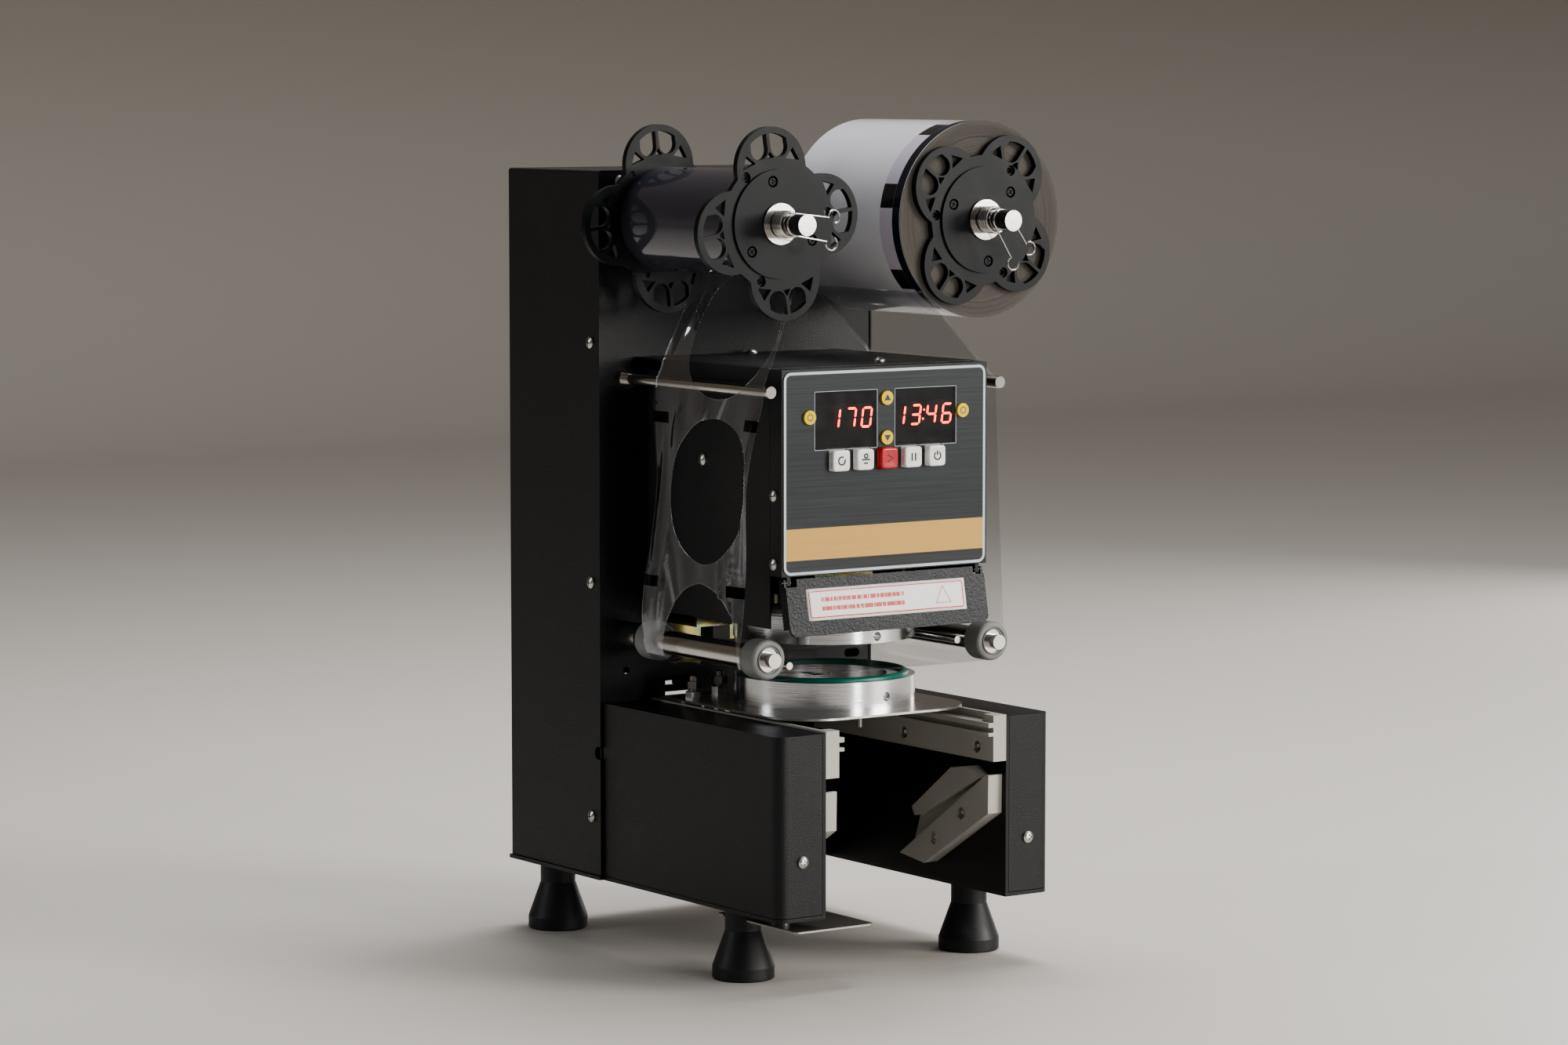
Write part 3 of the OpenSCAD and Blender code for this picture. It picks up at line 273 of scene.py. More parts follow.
def powder_coat(name, dark, light, size, depth, roughness, fleck=0.0, shine=0.36):
    """Powder coat: colour drifts between dark and light, and grain of the given size and depth."""
    material, tree, shader = new_material(name, dark, Specular_IOR_Level=shine)
    grain = use_group(tree, coat_grain, {"Vector": place(tree), "Size": size})
    tone = blend_colour(tree, grain.outputs["Drift"], (*dark, 1), (*light, 1))
    flecked = blend_colour(tree, calc(tree, "MULTIPLY", grain.outputs["Fleck"], fleck), tone,
                           (0.35, 0.36, 0.38, 1))
    feed(tree, shader, "Base Color", flecked)
    rough = calc(tree, "ADD", roughness, calc(tree, "MULTIPLY", grain.outputs["Drift"], 0.12))
    feed(tree, shader, "Roughness", rough)
    bumpy(tree, shader, grain.outputs["Height"], depth, 0.0002)
    return material


def dress(material, *nodes):
    """Gives CAD nodes their material."""
    for name in nodes:
        mesh = frame["nodes"][name].data
        mesh.materials.clear()
        mesh.materials.append(material)


black_coat = powder_coat("black_powder_coat", (0.0055, 0.0055, 0.006), (0.010, 0.010, 0.011),
                         size=1500, depth=0.8, roughness=0.32)
dress(black_coat, "base_pan", "leg_covers", "column_cover", "column_back_panel", "head_cover",
      "head_front_plate", "column_front_plate")
inner_coat = powder_coat("inner_black_coat", (0.004, 0.004, 0.004), (0.007, 0.007, 0.007),
                         size=1200, depth=0.5, roughness=0.4)
dress(inner_coat, "leg_plates", "head_frame")
hammered = powder_coat("hammered_coat", (0.005, 0.006, 0.008), (0.008, 0.010, 0.013),
                       size=700, depth=0.8, roughness=0.26, fleck=0.07, shine=0.2)
dress(hammered, "guard_flap")

# ---------------------------------------------------------------- bare metal
# Rods, spindles, tray and small screws are stainless steel, polished or with a faint grain. The
# carriage and bracket carry a yellow zinc plating whose tint wanders from gold to green.

# Long faint scratches and smudges for roughness and bump, from a noise stretched one way
metal_wear, entry, leave = new_group(
    "metal_wear",
    [("Vector", "NodeSocketVector", (0, 0, 0)), ("Scale", "NodeSocketFloat", 60.0)],
    [("Line", "NodeSocketFloat"), ("Smudge", "NodeSocketFloat")])
line = noise(metal_wear, entry.outputs["Vector"], entry.outputs["Scale"], 4.0)
smudge = noise(metal_wear, entry.outputs["Vector"], 9.0, 2.0)
metal_wear.links.new(line, leave.inputs["Line"])
metal_wear.links.new(smudge, leave.inputs["Smudge"])


def bare_metal(name, colour, stretch, scale, roughness, spread, depth=0.05, centre=(0, 0, 0)):
    """Bare metal: a noise stretched along one axis gives the direction of its grain."""
    material, tree, shader = new_material(name, colour, Metallic=1.0)
    wear = use_group(tree, metal_wear, {"Vector": place(tree, centre, stretch), "Scale": scale})
    rough = calc(tree, "ADD", roughness, calc(tree, "MULTIPLY", wear.outputs["Smudge"], spread))
    feed(tree, shader, "Roughness", rough)
    bumpy(tree, shader, wear.outputs["Line"], depth, 0.0003)
    shade = blend_colour(tree, wear.outputs["Smudge"], (*[c * 0.82 for c in colour], 1), (*colour, 1))
    feed(tree, shader, "Base Color", shade)
    return material, tree, shader


polished, tree, shader = bare_metal("polished_stainless", (0.66, 0.64, 0.61), (1, 0.05, 1), 420, 0.10, 0.14, 0.06)
# The short hinge pins of the guard are painted near black and not metallic, like the flap they carry: painted
# shade, so the polished pins vanish in the shaded hinge gap
pin_y, pin_z = COLUMN_Y - mm(165), mm(263.8)
spot = split(tree, place(tree))
off_pin = calc(tree, "ABSOLUTE", calc(tree, "SUBTRACT", spot[2], pin_z))
pin_shade_mask = calc(tree, "MULTIPLY", calc(tree, "LESS_THAN", spot[1], pin_y),
               calc(tree, "LESS_THAN", off_pin, mm(3)))
steel_shade = shader.inputs["Base Color"].links[0].from_socket
feed(tree, shader, "Base Color", blend_colour(tree, pin_shade_mask, steel_shade, (0.006, 0.006, 0.006, 1)))
feed(tree, shader, "Metallic", calc(tree, "SUBTRACT", 1.0, pin_shade_mask))
dress(polished, "fixed_rods", "takeup_spindle", "supply_spindle", "left_film_roller", "right_film_roller",
      "shaft_bearings", "press_crank", "tray_pinion", "tray_rack")
sheet_steel, *_ = bare_metal("brushed_sheet", (0.60, 0.58, 0.55), (1, 0.08, 1), 700, 0.20, 0.16, 0.10)
dress(sheet_steel, "tray_plate", "tray_runners", "heater_block")
# The plate under the base takes a darker, rougher copy of the tray's sheet steel
dull_sheet, *_ = bare_metal("dull_sheet", (0.42, 0.40, 0.37), (1, 0.1, 1), 500, 0.36, 0.16, 0.10)
dress(dull_sheet, "under_plate")
screw_steel, *_ = bare_metal("screw_steel", (0.62, 0.60, 0.56), (1, 1, 1), 900, 0.18, 0.2, 0.1)
dress(screw_steel, "fasteners", "cutter_ring")
# The tray's bolts take a darker copy of the screw steel: painted shade for their place at the tray's rear
tray_bolt_shade, *_ = bare_metal("dark_bolt_steel", (0.25, 0.24, 0.23), (1, 1, 1), 900, 0.2, 0.2, 0.1)
dress(tray_bolt_shade, "tray_bolts")

zinc_plating, tree, shader = bare_metal("yellow_zinc", (0.60, 0.50, 0.24), (1, 1, 1), 60, 0.18, 0.2, 0.05)
tint = noise(tree, place(tree), 42.0, 2.0, distortion=1.4)
plated = blend_colour(tree, ramp(tree, tint, 0.42, 0.6), (0.62, 0.50, 0.20, 1), (0.34, 0.42, 0.26, 1))
plated = blend_colour(tree, ramp(tree, tint, 0.58, 0.7), plated, (0.52, 0.30, 0.30, 1))
feed(tree, shader, "Base Color", plated)
dress(zinc_plating, "press_carriage", "sensor_bracket")

# ---------------------------------------------------------------- turned rings
# The cup ring and the sealing die are turned from aluminium. The lathe leaves fine circles round
# the axis, and a green rubber seal lies in a groove on the cup ring.

RING_AXIS = tuple((a + b) / 2 for a, b in zip(*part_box("cup_ring")))
turned, tree, shader = bare_metal("turned_aluminium", (0.74, 0.74, 0.75), (0.02, 0.02, 1), 1500, 0.13, 0.10,
                                  0.22, RING_AXIS)
dress(turned, "cup_ring", "die_ring")

seal_rubber, tree, shader = new_material("green_seal_rubber", (0.0, 0.115, 0.085), Roughness=0.34)
mottle = noise(tree, place(tree), 260.0, 3.0)
feed(tree, shader, "Base Color", blend_colour(tree, mottle, (0.0, 0.085, 0.062, 1),
                                              (0.002, 0.15, 0.11, 1)))
bumpy(tree, shader, mottle, 0.1, 0.0002)
dress(seal_rubber, "cup_ring_seal")

# ---------------------------------------------------------------- cast guides
# The tray rails and the lift guides are cast or milled, then blasted to a warm matt grey.

blasted, tree, shader = new_material("blasted_grey", (0.44, 0.42, 0.38), Roughness=0.55, Metallic=0.1)
grain = use_group(tree, coat_grain, {"Vector": place(tree), "Size": 2600})
feed(tree, shader, "Base Color", blend_colour(tree, grain.outputs["Drift"], (0.38, 0.365, 0.325, 1),
                                              (0.50, 0.485, 0.44, 1)))
bumpy(tree, shader, grain.outputs["Height"], 0.25, 0.0002)
dress(blasted, "tray_rails", "lift_guides")

# ---------------------------------------------------------------- feet
# Four moulded rubber feet, each a flared cone on a short neck, bolted up into the base.

foot_rubber, tree, shader = new_material("foot_rubber", (0.008, 0.008, 0.009), Roughness=0.48)
dust = noise(tree, place(tree), 90.0, 5.0)
feed(tree, shader, "Base Color", blend_colour(tree, ramp(tree, dust, 0.5, 0.8),
                                              (0.005, 0.005, 0.006, 1), (0.018, 0.018, 0.018, 1)))
feed(tree, shader, "Roughness", calc(tree, "ADD", 0.38, calc(tree, "MULTIPLY", dust, 0.25)))
ridge = add(tree, "ShaderNodeTexWave", {"Vector": place(tree), "Scale": 260.0, "Distortion": 0.4},
            bands_direction="Z")
bumpy(tree, shader, ridge.outputs[1], 0.06, 0.0003)
dress(foot_rubber, "rubber_feet")

# ---------------------------------------------------------------- control panel
# A printed plastic overlay on the head: slate with a fine horizontal brush, a light frame line,
# a gold band low down, and a light line round each of the two smoked display windows.

PANEL_LOW, PANEL_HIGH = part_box("control_panel")
PANEL_X = (PANEL_LOW.x + PANEL_HIGH.x) / 2
PANEL_Z = (PANEL_LOW.z + PANEL_HIGH.z) / 2
PANEL_HALF_W = (PANEL_HIGH.x - PANEL_LOW.x) / 2
PANEL_HALF_H = (PANEL_HIGH.z - PANEL_LOW.z) / 2
WINDOW_LOW, WINDOW_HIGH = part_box("display_windows")
WINDOW_X, WINDOW_HALF_W = mm(32.4, 25.0)
WINDOW_Z = (WINDOW_LOW.z + WINDOW_HIGH.z) / 2
WINDOW_HALF_H = (WINDOW_HIGH.z - WINDOW_LOW.z) / 2 + mm(0.3)
GOLD_BAND = mm(278.4, 299.2)

# Distance of a flat point from the edge of a rounded rectangle, negative inside it
round_box, entry, leave = new_group(
    "round_box",
    [("X", "NodeSocketFloat", 0.0), ("Z", "NodeSocketFloat", 0.0), ("Half width", "NodeSocketFloat", 1.0),
     ("Half height", "NodeSocketFloat", 1.0), ("Corner", "NodeSocketFloat", 0.1)],
    [("Distance", "NodeSocketFloat")])
sides = [calc(round_box, "ADD", calc(round_box, "SUBTRACT", calc(round_box, "ABSOLUTE", entry.outputs[a]),
                                     entry.outputs[b]), entry.outputs["Corner"])
         for a, b in (("X", "Half width"), ("Z", "Half height"))]
squares = [calc(round_box, "POWER", calc(round_box, "MAXIMUM", s, 0.0), 2.0) for s in sides]
outside = calc(round_box, "SQRT", calc(round_box, "ADD", *squares))
inside = calc(round_box, "MINIMUM", calc(round_box, "MAXIMUM", *sides), 0.0)
reach = calc(round_box, "SUBTRACT", calc(round_box, "ADD", outside, inside), entry.outputs["Corner"])
round_box.links.new(reach, leave.inputs["Distance"])


def between(tree, value, low, high, soft=0.00008):
    """1 where value lies between low and high, with a thin soft edge."""
    return calc(tree, "MULTIPLY", ramp(tree, value, low - soft, low + soft),
                calc(tree, "SUBTRACT", 1.0, ramp(tree, value, high - soft, high + soft)))


overlay, tree, shader = new_material("panel_overlay", (0.03, 0.04, 0.05), Roughness=0.34, Coat_Weight=0.3,
                                     Coat_Roughness=0.08, Specular_IOR_Level=0.35)
spot = split(tree, place(tree, (PANEL_X, 0, PANEL_Z)))
brush = noise(tree, place(tree, scale=(1, 1, 60)), 14.0, 5.0)
slate = blend_colour(tree, ramp(tree, brush, 0.3, 0.7), (0.006, 0.009, 0.011, 1),
                     (0.017, 0.023, 0.028, 1))
edge = use_group(tree, round_box, {"X": spot[0], "Z": spot[2], "Half width": PANEL_HALF_W,
                                   "Half height": PANEL_HALF_H, "Corner": mm(6)}).outputs[0]
window_x = calc(tree, "SUBTRACT", calc(tree, "ABSOLUTE", spot[0]), WINDOW_X)
window_z = calc(tree, "SUBTRACT", spot[2], WINDOW_Z - PANEL_Z)
pane = use_group(tree, round_box, {"X": window_x, "Z": window_z, "Half width": WINDOW_HALF_W,
                                   "Half height": WINDOW_HALF_H, "Corner": mm(0.3)}).outputs[0]
band = between(tree, spot[2], GOLD_BAND[0] - PANEL_Z, GOLD_BAND[1] - PANEL_Z)
gold = blend_colour(tree, brush, (0.54, 0.31, 0.075, 1), (0.60, 0.37, 0.11, 1))
printed = blend_colour(tree, band, slate, gold)
lines = calc(tree, "MAXIMUM", between(tree, edge, mm(-2.2), mm(-0.35)), between(tree, pane, mm(-0.6), mm(0.3)))
printed = blend_colour(tree, lines, printed, (0.50, 0.56, 0.60, 1))
printed = blend_colour(tree, ramp(tree, edge, mm(-0.45), mm(-0.3)), printed, (0.01, 0.012, 0.014, 1))
feed(tree, shader, "Base Color", printed)
bumpy(tree, shader, brush, 0.05, 0.0002)
dress(overlay, "control_panel")

smoked, tree, shader = new_material("smoked_window", (0.012, 0.011, 0.012), Roughness=0.16, Alpha=0.55,
                                    Coat_Weight=0.5)
film_dust = noise(tree, place(tree), 120.0, 4.0)
feed(tree, shader, "Roughness", calc(tree, "ADD", 0.10, calc(tree, "MULTIPLY", film_dust, 0.16)))
dress(smoked, "display_windows")

board_lacquer, tree, shader = new_material("board_lacquer", (0.012, 0.012, 0.012), Roughness=0.5)
tracks = add(tree, "ShaderNodeTexBrick", {"Vector": place(tree, scale=(1, 1, 1)), "Scale": 160.0,
                                          "Color1": (0.012, 0.03, 0.018, 1), "Color2": (0.008, 0.02, 0.012, 1),
                                          "Mortar": (0.02, 0.05, 0.03, 1)})
feed(tree, shader, "Base Color", tracks.outputs[0])
dress(board_lacquer, "circuit_boards")

# ---------------------------------------------------------------- display digits
# Seven-segment red LED digits lie on the display modules, behind the smoked windows. Each lit
# bar is a thin six-sided plate, and the digits lean a little to the right.

DIGIT_H, DIGIT_W, BAR_W = mm(12.4, 7.0, 1.5)
DIGIT_LEAN = math.tan(math.radians(8))
DIGIT_Y = WINDOW_LOW.y - mm(0.05)
DIGIT_Z = WINDOW_Z + mm(1.2)
LEFT_DIGITS = mm(-41.5, -28.7, -15.9)
RIGHT_DIGITS = mm(11.4, 24.2, 37.0, 49.8)
# Bars as (middle across, middle up, upright?) in shares of the digit's size, in the order a to g
BARS = [(0, 1, False), (1, 0.5, True), (1, -0.5, True), (0, -1, False), (-1, -0.5, True),
        (-1, 0.5, True), (0, 0, False)]
LIT = {"0": "abcdef", "1": "bc", "3": "abcdg", "4": "bcfg", "6": "acdefg", "7": "abc"}


def bar_plate(x, z, upright):
    """The six corners of one bar, front and back, leaning with its height."""
    long = (DIGIT_H / 2 - mm(0.5)) / 2 if upright else DIGIT_W / 2 - mm(0.4)
    half = BAR_W / 2
    along = np.array([-long, -long + half, long - half, long, long - half, -long + half])
    side = np.array([0, half, half, 0, -half, -half])
    px, pz = (side, along) if upright else (along, side)
    px, pz = px + x, pz + z
    front = np.stack([px + pz * DIGIT_LEAN, np.full(6, 0.0), pz], axis=1)
    return np.stack([front, front + np.array([0, mm(0.04), 0])])


def digits(name, text, centres):
    """One mesh with the lit bars of several digits."""
    verts, faces = [], []
    for mark, centre in zip(text, centres):
        for letter in LIT[mark]:
            across, up, upright = BARS["abcdefg".index(letter)]
            plate = bar_plate(across * DIGIT_W / 2, up * DIGIT_H / 2, upright)
            base = len(verts) * 6
            verts += [plate[0] + [centre, DIGIT_Y, DIGIT_Z], plate[1] + [centre, DIGIT_Y, DIGIT_Z]]
            faces += [[base + k for k in range(6)], [base + 11 - k for k in range(6)]]
            faces += [[base + k, base + 6 + k, base + 6 + (k + 1) % 6, base + (k + 1) % 6]
                      for k in range(6)]
    mesh = bpy.data.meshes.new(name)
    mesh.from_pydata(np.concatenate(verts).tolist(), [], faces)
    face_out(mesh)
    piece = bpy.data.objects.new(name, mesh)
    bpy.context.scene.collection.objects.link(piece)
    return piece


glow, tree, shader = new_material("red_led", (0.6, 0.02, 0.01), Roughness=0.4, Emission_Strength=5.0)
shader.inputs["Emission Color"].default_value = (1.0, 0.035, 0.015, 1)
for name, text, centres in (("temperature_digits", "170", LEFT_DIGITS),
                            ("counter_digits", "1346", RIGHT_DIGITS)):
    piece = digits(name, text, centres)
    piece.data.materials.append(glow)
    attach(piece, "chassis")


def lathe(name, profile, centre, axis="y", count=32, round_power=None):
    """A closed turned shape: profile holds (radius, place along the axis), from pole to pole.

    round_power, one number for each profile point, squares the circle off as a superellipse:
    |x|^p + |z|^p = r^p, so 2 is a circle and 8 a rounded square.
    """
    profile = np.array(profile, float)
    turn = np.linspace(0, 2 * math.pi, count, endpoint=False) + math.pi / count
    powers = np.full(len(profile), 2.0) if round_power is None else np.array(round_power, float)
    c, s = np.cos(turn)[None, :], np.sin(turn)[None, :]
    p = powers[:, None]
    stretch = (np.abs(c) ** p + np.abs(s) ** p) ** (-1 / p)
    u, v = profile[:, :1] * stretch * c, profile[:, :1] * stretch * s
    w = np.broadcast_to(profile[:, 1:], u.shape)
    grid = np.stack([u, w, v] if axis == "y" else [u, v, w], axis=-1) + np.array(centre)
    return surface(name, grid, wrap_v=True, caps=True)


for z in (-mm(3.0), mm(3.0)):
    x = (RIGHT_DIGITS[1] + RIGHT_DIGITS[2]) / 2 + z * DIGIT_LEAN
    dot = lathe(f"colon_dot_{'low' if z < 0 else 'high'}", [(mm(0.75), 0), (mm(0.75), mm(0.04))],
                (x, DIGIT_Y, DIGIT_Z + z), count=16)
    dot.data.materials.append(glow)
    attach(dot, "chassis")

# ---------------------------------------------------------------- buttons and keys
# Five moulded square caps with softly rounded edges, the middle one red, and four small round
# yellow keys. Each cap stands on a flange and a stem that presses a switch on the board.

CAP_HALF, CAP_ROUND = mm(7.0), 7.0


def cap_profile(low, high):
    """Rings of a cap from the stem's tip to the middle of its slightly dished front."""
    front, back = low.y, high.y
    rings = [(0.01, back, 2), (mm(2), back, 2), (mm(2), back - mm(1.9), 2),
             (CAP_HALF + mm(1.2), back - mm(1.9), 12), (CAP_HALF + mm(1.2), back - mm(3.1), 12),
             (CAP_HALF, back - mm(3.1), CAP_ROUND), (CAP_HALF, front + mm(1.5), CAP_ROUND)]
    turn = np.linspace(0, math.pi / 2, 6)[1:]
    rings += [(CAP_HALF - mm(1.3) * (1 - math.cos(a)), front + mm(1.5) * (1 - math.sin(a)),
               CAP_ROUND) for a in turn]
    rings += [(CAP_HALF * k, front + mm(0.22) * (1 - (k / 0.8) ** 2), CAP_ROUND)
              for k in (0.72, 0.55, 0.35, 0.15)]
    return [(r, y) for r, y, p in rings], [p for r, y, p in rings]


def cap_plastic(name, colour, shade):
    """Moulded plastic whose colour drifts to shade where hands leave grime."""
    material, tree, shader = new_material(name, colour, Roughness=0.28, Coat_Weight=0.3,
                                          Subsurface_Weight=0.15, Subsurface_Scale=0.002)
    grime = noise(tree, place(tree), 240.0, 4.0)
    feed(tree, shader, "Base Color", blend_colour(tree, ramp(tree, grime, 0.35, 0.75), (*colour, 1),
                                                  (*shade, 1)))
    feed(tree, shader, "Roughness", calc(tree, "ADD", 0.2, calc(tree, "MULTIPLY", grime, 0.2)))
    return material


white_cap = cap_plastic("white_cap", (0.86, 0.86, 0.83), (0.72, 0.72, 0.69))
red_cap = cap_plastic("red_cap", (0.52, 0.012, 0.02), (0.38, 0.008, 0.014))
ink, tree, shader = new_material("printed_ink", (0.02, 0.02, 0.022), Roughness=0.45)
speck = noise(tree, place(tree), 900.0)
feed(tree, shader, "Base Color", blend_colour(tree, speck, (0.015, 0.015, 0.017, 1),
                                              (0.035, 0.035, 0.038, 1)))


def stroke(name, path, width, front, thick=0.00006, closed=False):
    """A flat printed line: a thin strip of the given width along points (x, z) at depth front.

    At each point the strip is offset half the width to each side of the path's own direction.
    """
    path = np.array(path, float)
    if closed:
        ahead, behind = np.roll(path, -1, axis=0), np.roll(path, 1, axis=0)
    else:
        ahead, behind = np.vstack([path[1:], path[-1:]]), np.vstack([path[:1], path[:-1]])
    way = ahead - behind
    way /= np.linalg.norm(way, axis=1)[:, None]
    side = np.stack([-way[:, 1], way[:, 0]], axis=1) * width / 2
    left, right = path + side, path - side
    corners = [(left, 0), (right, 0), (right, thick), (left, thick)]
    grid = np.stack([np.stack([p[:, 0], np.full(len(p), front + d), p[:, 1]], axis=1)
                     for p, d in corners], axis=1)
    return surface(name, grid, wrap_u=closed, wrap_v=True, caps=not closed, smooth=False)


def arc(centre, radius, start, end, count=24):
    """Points of a circular arc, angles in degrees."""
    turn = np.radians(np.linspace(start, end, count))
    return [(centre[0] + radius * math.cos(a), centre[1] + radius * math.sin(a)) for a in turn]


def cap_marks(kind, x, z):
    """Plain symbols as (path, closed) pairs: a loop, a roll, a wedge, bars, a switch."""
    if kind == "auto":
        return [(arc((x, z), mm(2.6), 60, 380), False)]
    if kind == "film":
        return [([(x - mm(3.2), z), (x + mm(3.2), z)], False),
                (arc((x, z + mm(2.4)), mm(1.3), 0, 345), True),
                ([(x - mm(1.6), z - mm(2.4)), (x + mm(1.6), z - mm(2.4))], False)]
    if kind == "start":
        return [([(x - mm(1.6), z - mm(2.4)), (x + mm(2.6), z), (x - mm(1.6), z + mm(2.4))], False)]
    if kind == "pause":
        return [([(x + s, z - mm(2.6)), (x + s, z + mm(2.6))], False) for s in mm(-1.4, 1.4)]
    return [(arc((x, z), mm(2.6), 125, 415), False), ([(x, z + mm(0.4)), (x, z + mm(3.4))], False)]


for kind in ("auto", "film", "start", "pause", "power"):
    node = kind + "_button"
    low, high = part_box(node)
    x, z = (low.x + high.x) / 2, (low.z + high.z) / 2
    profile, powers = cap_profile(low, high)
    cap = lathe(kind + "_cap", profile, (x, 0, z), count=48, round_power=powers)
    cap.data.materials.append(red_cap if kind == "start" else white_cap)
    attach(cap, node + "_cap")
    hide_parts(node)
    for k, (path, closed) in enumerate(cap_marks(kind, x, z)):
        mark = stroke(f"{kind}_mark_{k}", path, mm(0.95), low.y - mm(0.02), mm(0.3), closed)
        mark.data.materials.append(ink)
        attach(mark, node + "_cap")

yellow_key = cap_plastic("yellow_key", (0.80, 0.56, 0.012), (0.68, 0.44, 0.008))
dress(yellow_key, "setup_key", "up_key", "down_key", "counter_key")
for node, tip in (("up_key", 1), ("down_key", -1)):
    low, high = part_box(node)
    x, z = (low.x + high.x) / 2, (low.z + high.z) / 2
    foot_z, tip_z = z - tip * mm(1.7), z + tip * mm(2.6)
    wedge = np.array([(x - mm(2.7), foot_z), (x, tip_z), (x + mm(2.7), foot_z)])
    sides = [np.stack([wedge[:, 0], np.full(3, low.y + d), wedge[:, 1]], axis=1)
             for d in mm(-0.03, 0.03)]
    arrow = surface(node + "_arrow", np.stack(sides), wrap_v=True, caps=True, smooth=False)
    arrow.data.materials.append(ink)
    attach(arrow, node + "_cap")
for node in ("setup_key", "counter_key"):
    low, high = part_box(node)
    x, z = (low.x + high.x) / 2, (low.z + high.z) / 2
    ring = stroke(node + "_ring", arc((x, z), mm(2.1), 0, 345), mm(0.6), low.y - mm(0.03), closed=True)
    ring.data.materials.append(ink)
    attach(ring, node + "_cap")

# ---------------------------------------------------------------- guard label
# A plain white sticker with a red rounded frame and an empty triangle, stuck on the guard flap.
# It lies in the flap's own sloping plane.

HINGE = frame["joints"][[j["name"] for j in frame["joints"]].index("guard_hinge")]["pos_m"]
FLAP_TILT = math.radians(10.9)
FLAP_FRONT = mm(-3.5)
LABEL_X, LABEL_W, LABEL_H, LABEL_DROP = mm(-1.0, 129, 21, 15.6)


def on_flap(points):
    """Flap coordinates (x, out, up) turned by the flap's slope and moved to its hinge."""
    x, out, up = np.moveaxis(np.asarray(points, float), -1, 0)
    y = out * math.cos(FLAP_TILT) + up * math.sin(FLAP_TILT)
    z = -out * math.sin(FLAP_TILT) + up * math.cos(FLAP_TILT)
    return np.stack([x, HINGE[1] + y, HINGE[2] + z], axis=-1)


u = np.linspace(-0.5, 0.5, 33)[:, None]
v = np.linspace(-0.5, 0.5, 9)[None, :]
flat_x = LABEL_X + LABEL_W * u + 0 * v
flat_z = -LABEL_DROP + LABEL_H * v + 0 * u
lift = mm(0.05) + mm(0.05) * np.abs(2 * v) ** 6 * np.abs(2 * u) ** 6
faces_out = np.stack([flat_x, FLAP_FRONT - mm(0.06) - lift, flat_z], axis=-1)
label = surface("guard_label", on_flap(faces_out)[:, ::-1])
layer = label.data.uv_layers.new(name="flat")
corner = np.empty(len(label.data.loops), int)
label.data.loops.foreach_get("vertex_index", corner)
flat = np.stack([flat_x - LABEL_X, flat_z + LABEL_DROP], axis=-1)[:, ::-1].reshape(-1, 2)[corner]
layer.data.foreach_set("uv", flat.ravel())
solid = label.modifiers.new("thickness", "SOLIDIFY")
solid.thickness = mm(0.1)
solid.offset = -1

sticker, tree, shader = new_material("sticker_paper", (0.80, 0.79, 0.77), Roughness=0.42)
flat_uv = split(tree, add(tree, "ShaderNodeUVMap", uv_map="flat").outputs[0])
frame_line = use_group(tree, round_box, {"X": flat_uv[0], "Z": flat_uv[1],
                                         "Half width": LABEL_W / 2 - mm(2), "Half height": LABEL_H / 2 - mm(2),
                                         "Corner": mm(1.5)}).outputs[0]
paper_noise = noise(tree, place(tree), 700.0, 4.0)
paper = blend_colour(tree, paper_noise, (0.72, 0.71, 0.70, 1), (0.88, 0.87, 0.85, 1))
# Rows of short bars stand where a notice would be printed
row_shift = calc(tree, "MULTIPLY", calc(tree, "SIGN", flat_uv[1]), 40.0)
along_row = calc(tree, "ADD", calc(tree, "MULTIPLY", flat_uv[0], 150.0), row_shift)
words = add(tree, "ShaderNodeTexNoise", {"W": along_row}, noise_dimensions="1D")
rows = between(tree, calc(tree, "ABSOLUTE", flat_uv[1]), mm(1.6), mm(4.4))
rows = calc(tree, "MULTIPLY", rows, between(tree, flat_uv[0], mm(-53), mm(14)))
notice = calc(tree, "MULTIPLY", rows, ramp(tree, words.outputs[0], 0.40, 0.41))
print_mask = calc(tree, "MAXIMUM", between(tree, frame_line, mm(-0.38), mm(0.38)), notice)
worn = calc(tree, "MULTIPLY", print_mask, ramp(tree, paper_noise, 0.25, 0.4))
feed(tree, shader, "Base Color", blend_colour(tree, worn, paper, (0.55, 0.04, 0.025, 1)))
bumpy(tree, shader, paper_noise, 0.15, 0.0001)
label.data.materials.append(sticker)
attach(label, "guard")

red_ink, tree, shader = new_material("red_ink", (0.50, 0.03, 0.02), Roughness=0.45)
speck = noise(tree, place(tree), 900.0)
feed(tree, shader, "Base Color", blend_colour(tree, speck, (0.42, 0.025, 0.015, 1),
                                              (0.55, 0.05, 0.03, 1)))
sign = [(mm(39), -LABEL_DROP - mm(5)), (mm(51), -LABEL_DROP - mm(5)), (mm(45), -LABEL_DROP + mm(6.2))]
warning = stroke("label_triangle", sign, mm(0.9), 0, mm(0.03), closed=True)
grid = np.empty(len(warning.data.vertices) * 3)
warning.data.vertices.foreach_get("co", grid)
grid = grid.reshape(-1, 3) + [0, FLAP_FRONT - mm(0.16), 0]
warning.data.vertices.foreach_set("co", on_flap(grid).ravel())
warning.data.materials.append(red_ink)
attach(warning, "guard")

# ---------------------------------------------------------------- reels
# Black moulded flower-shaped flanges hold the film rolls on two spindles. A washer, a coil spring
# and a hairpin clip in the spindle's groove keep each reel on.

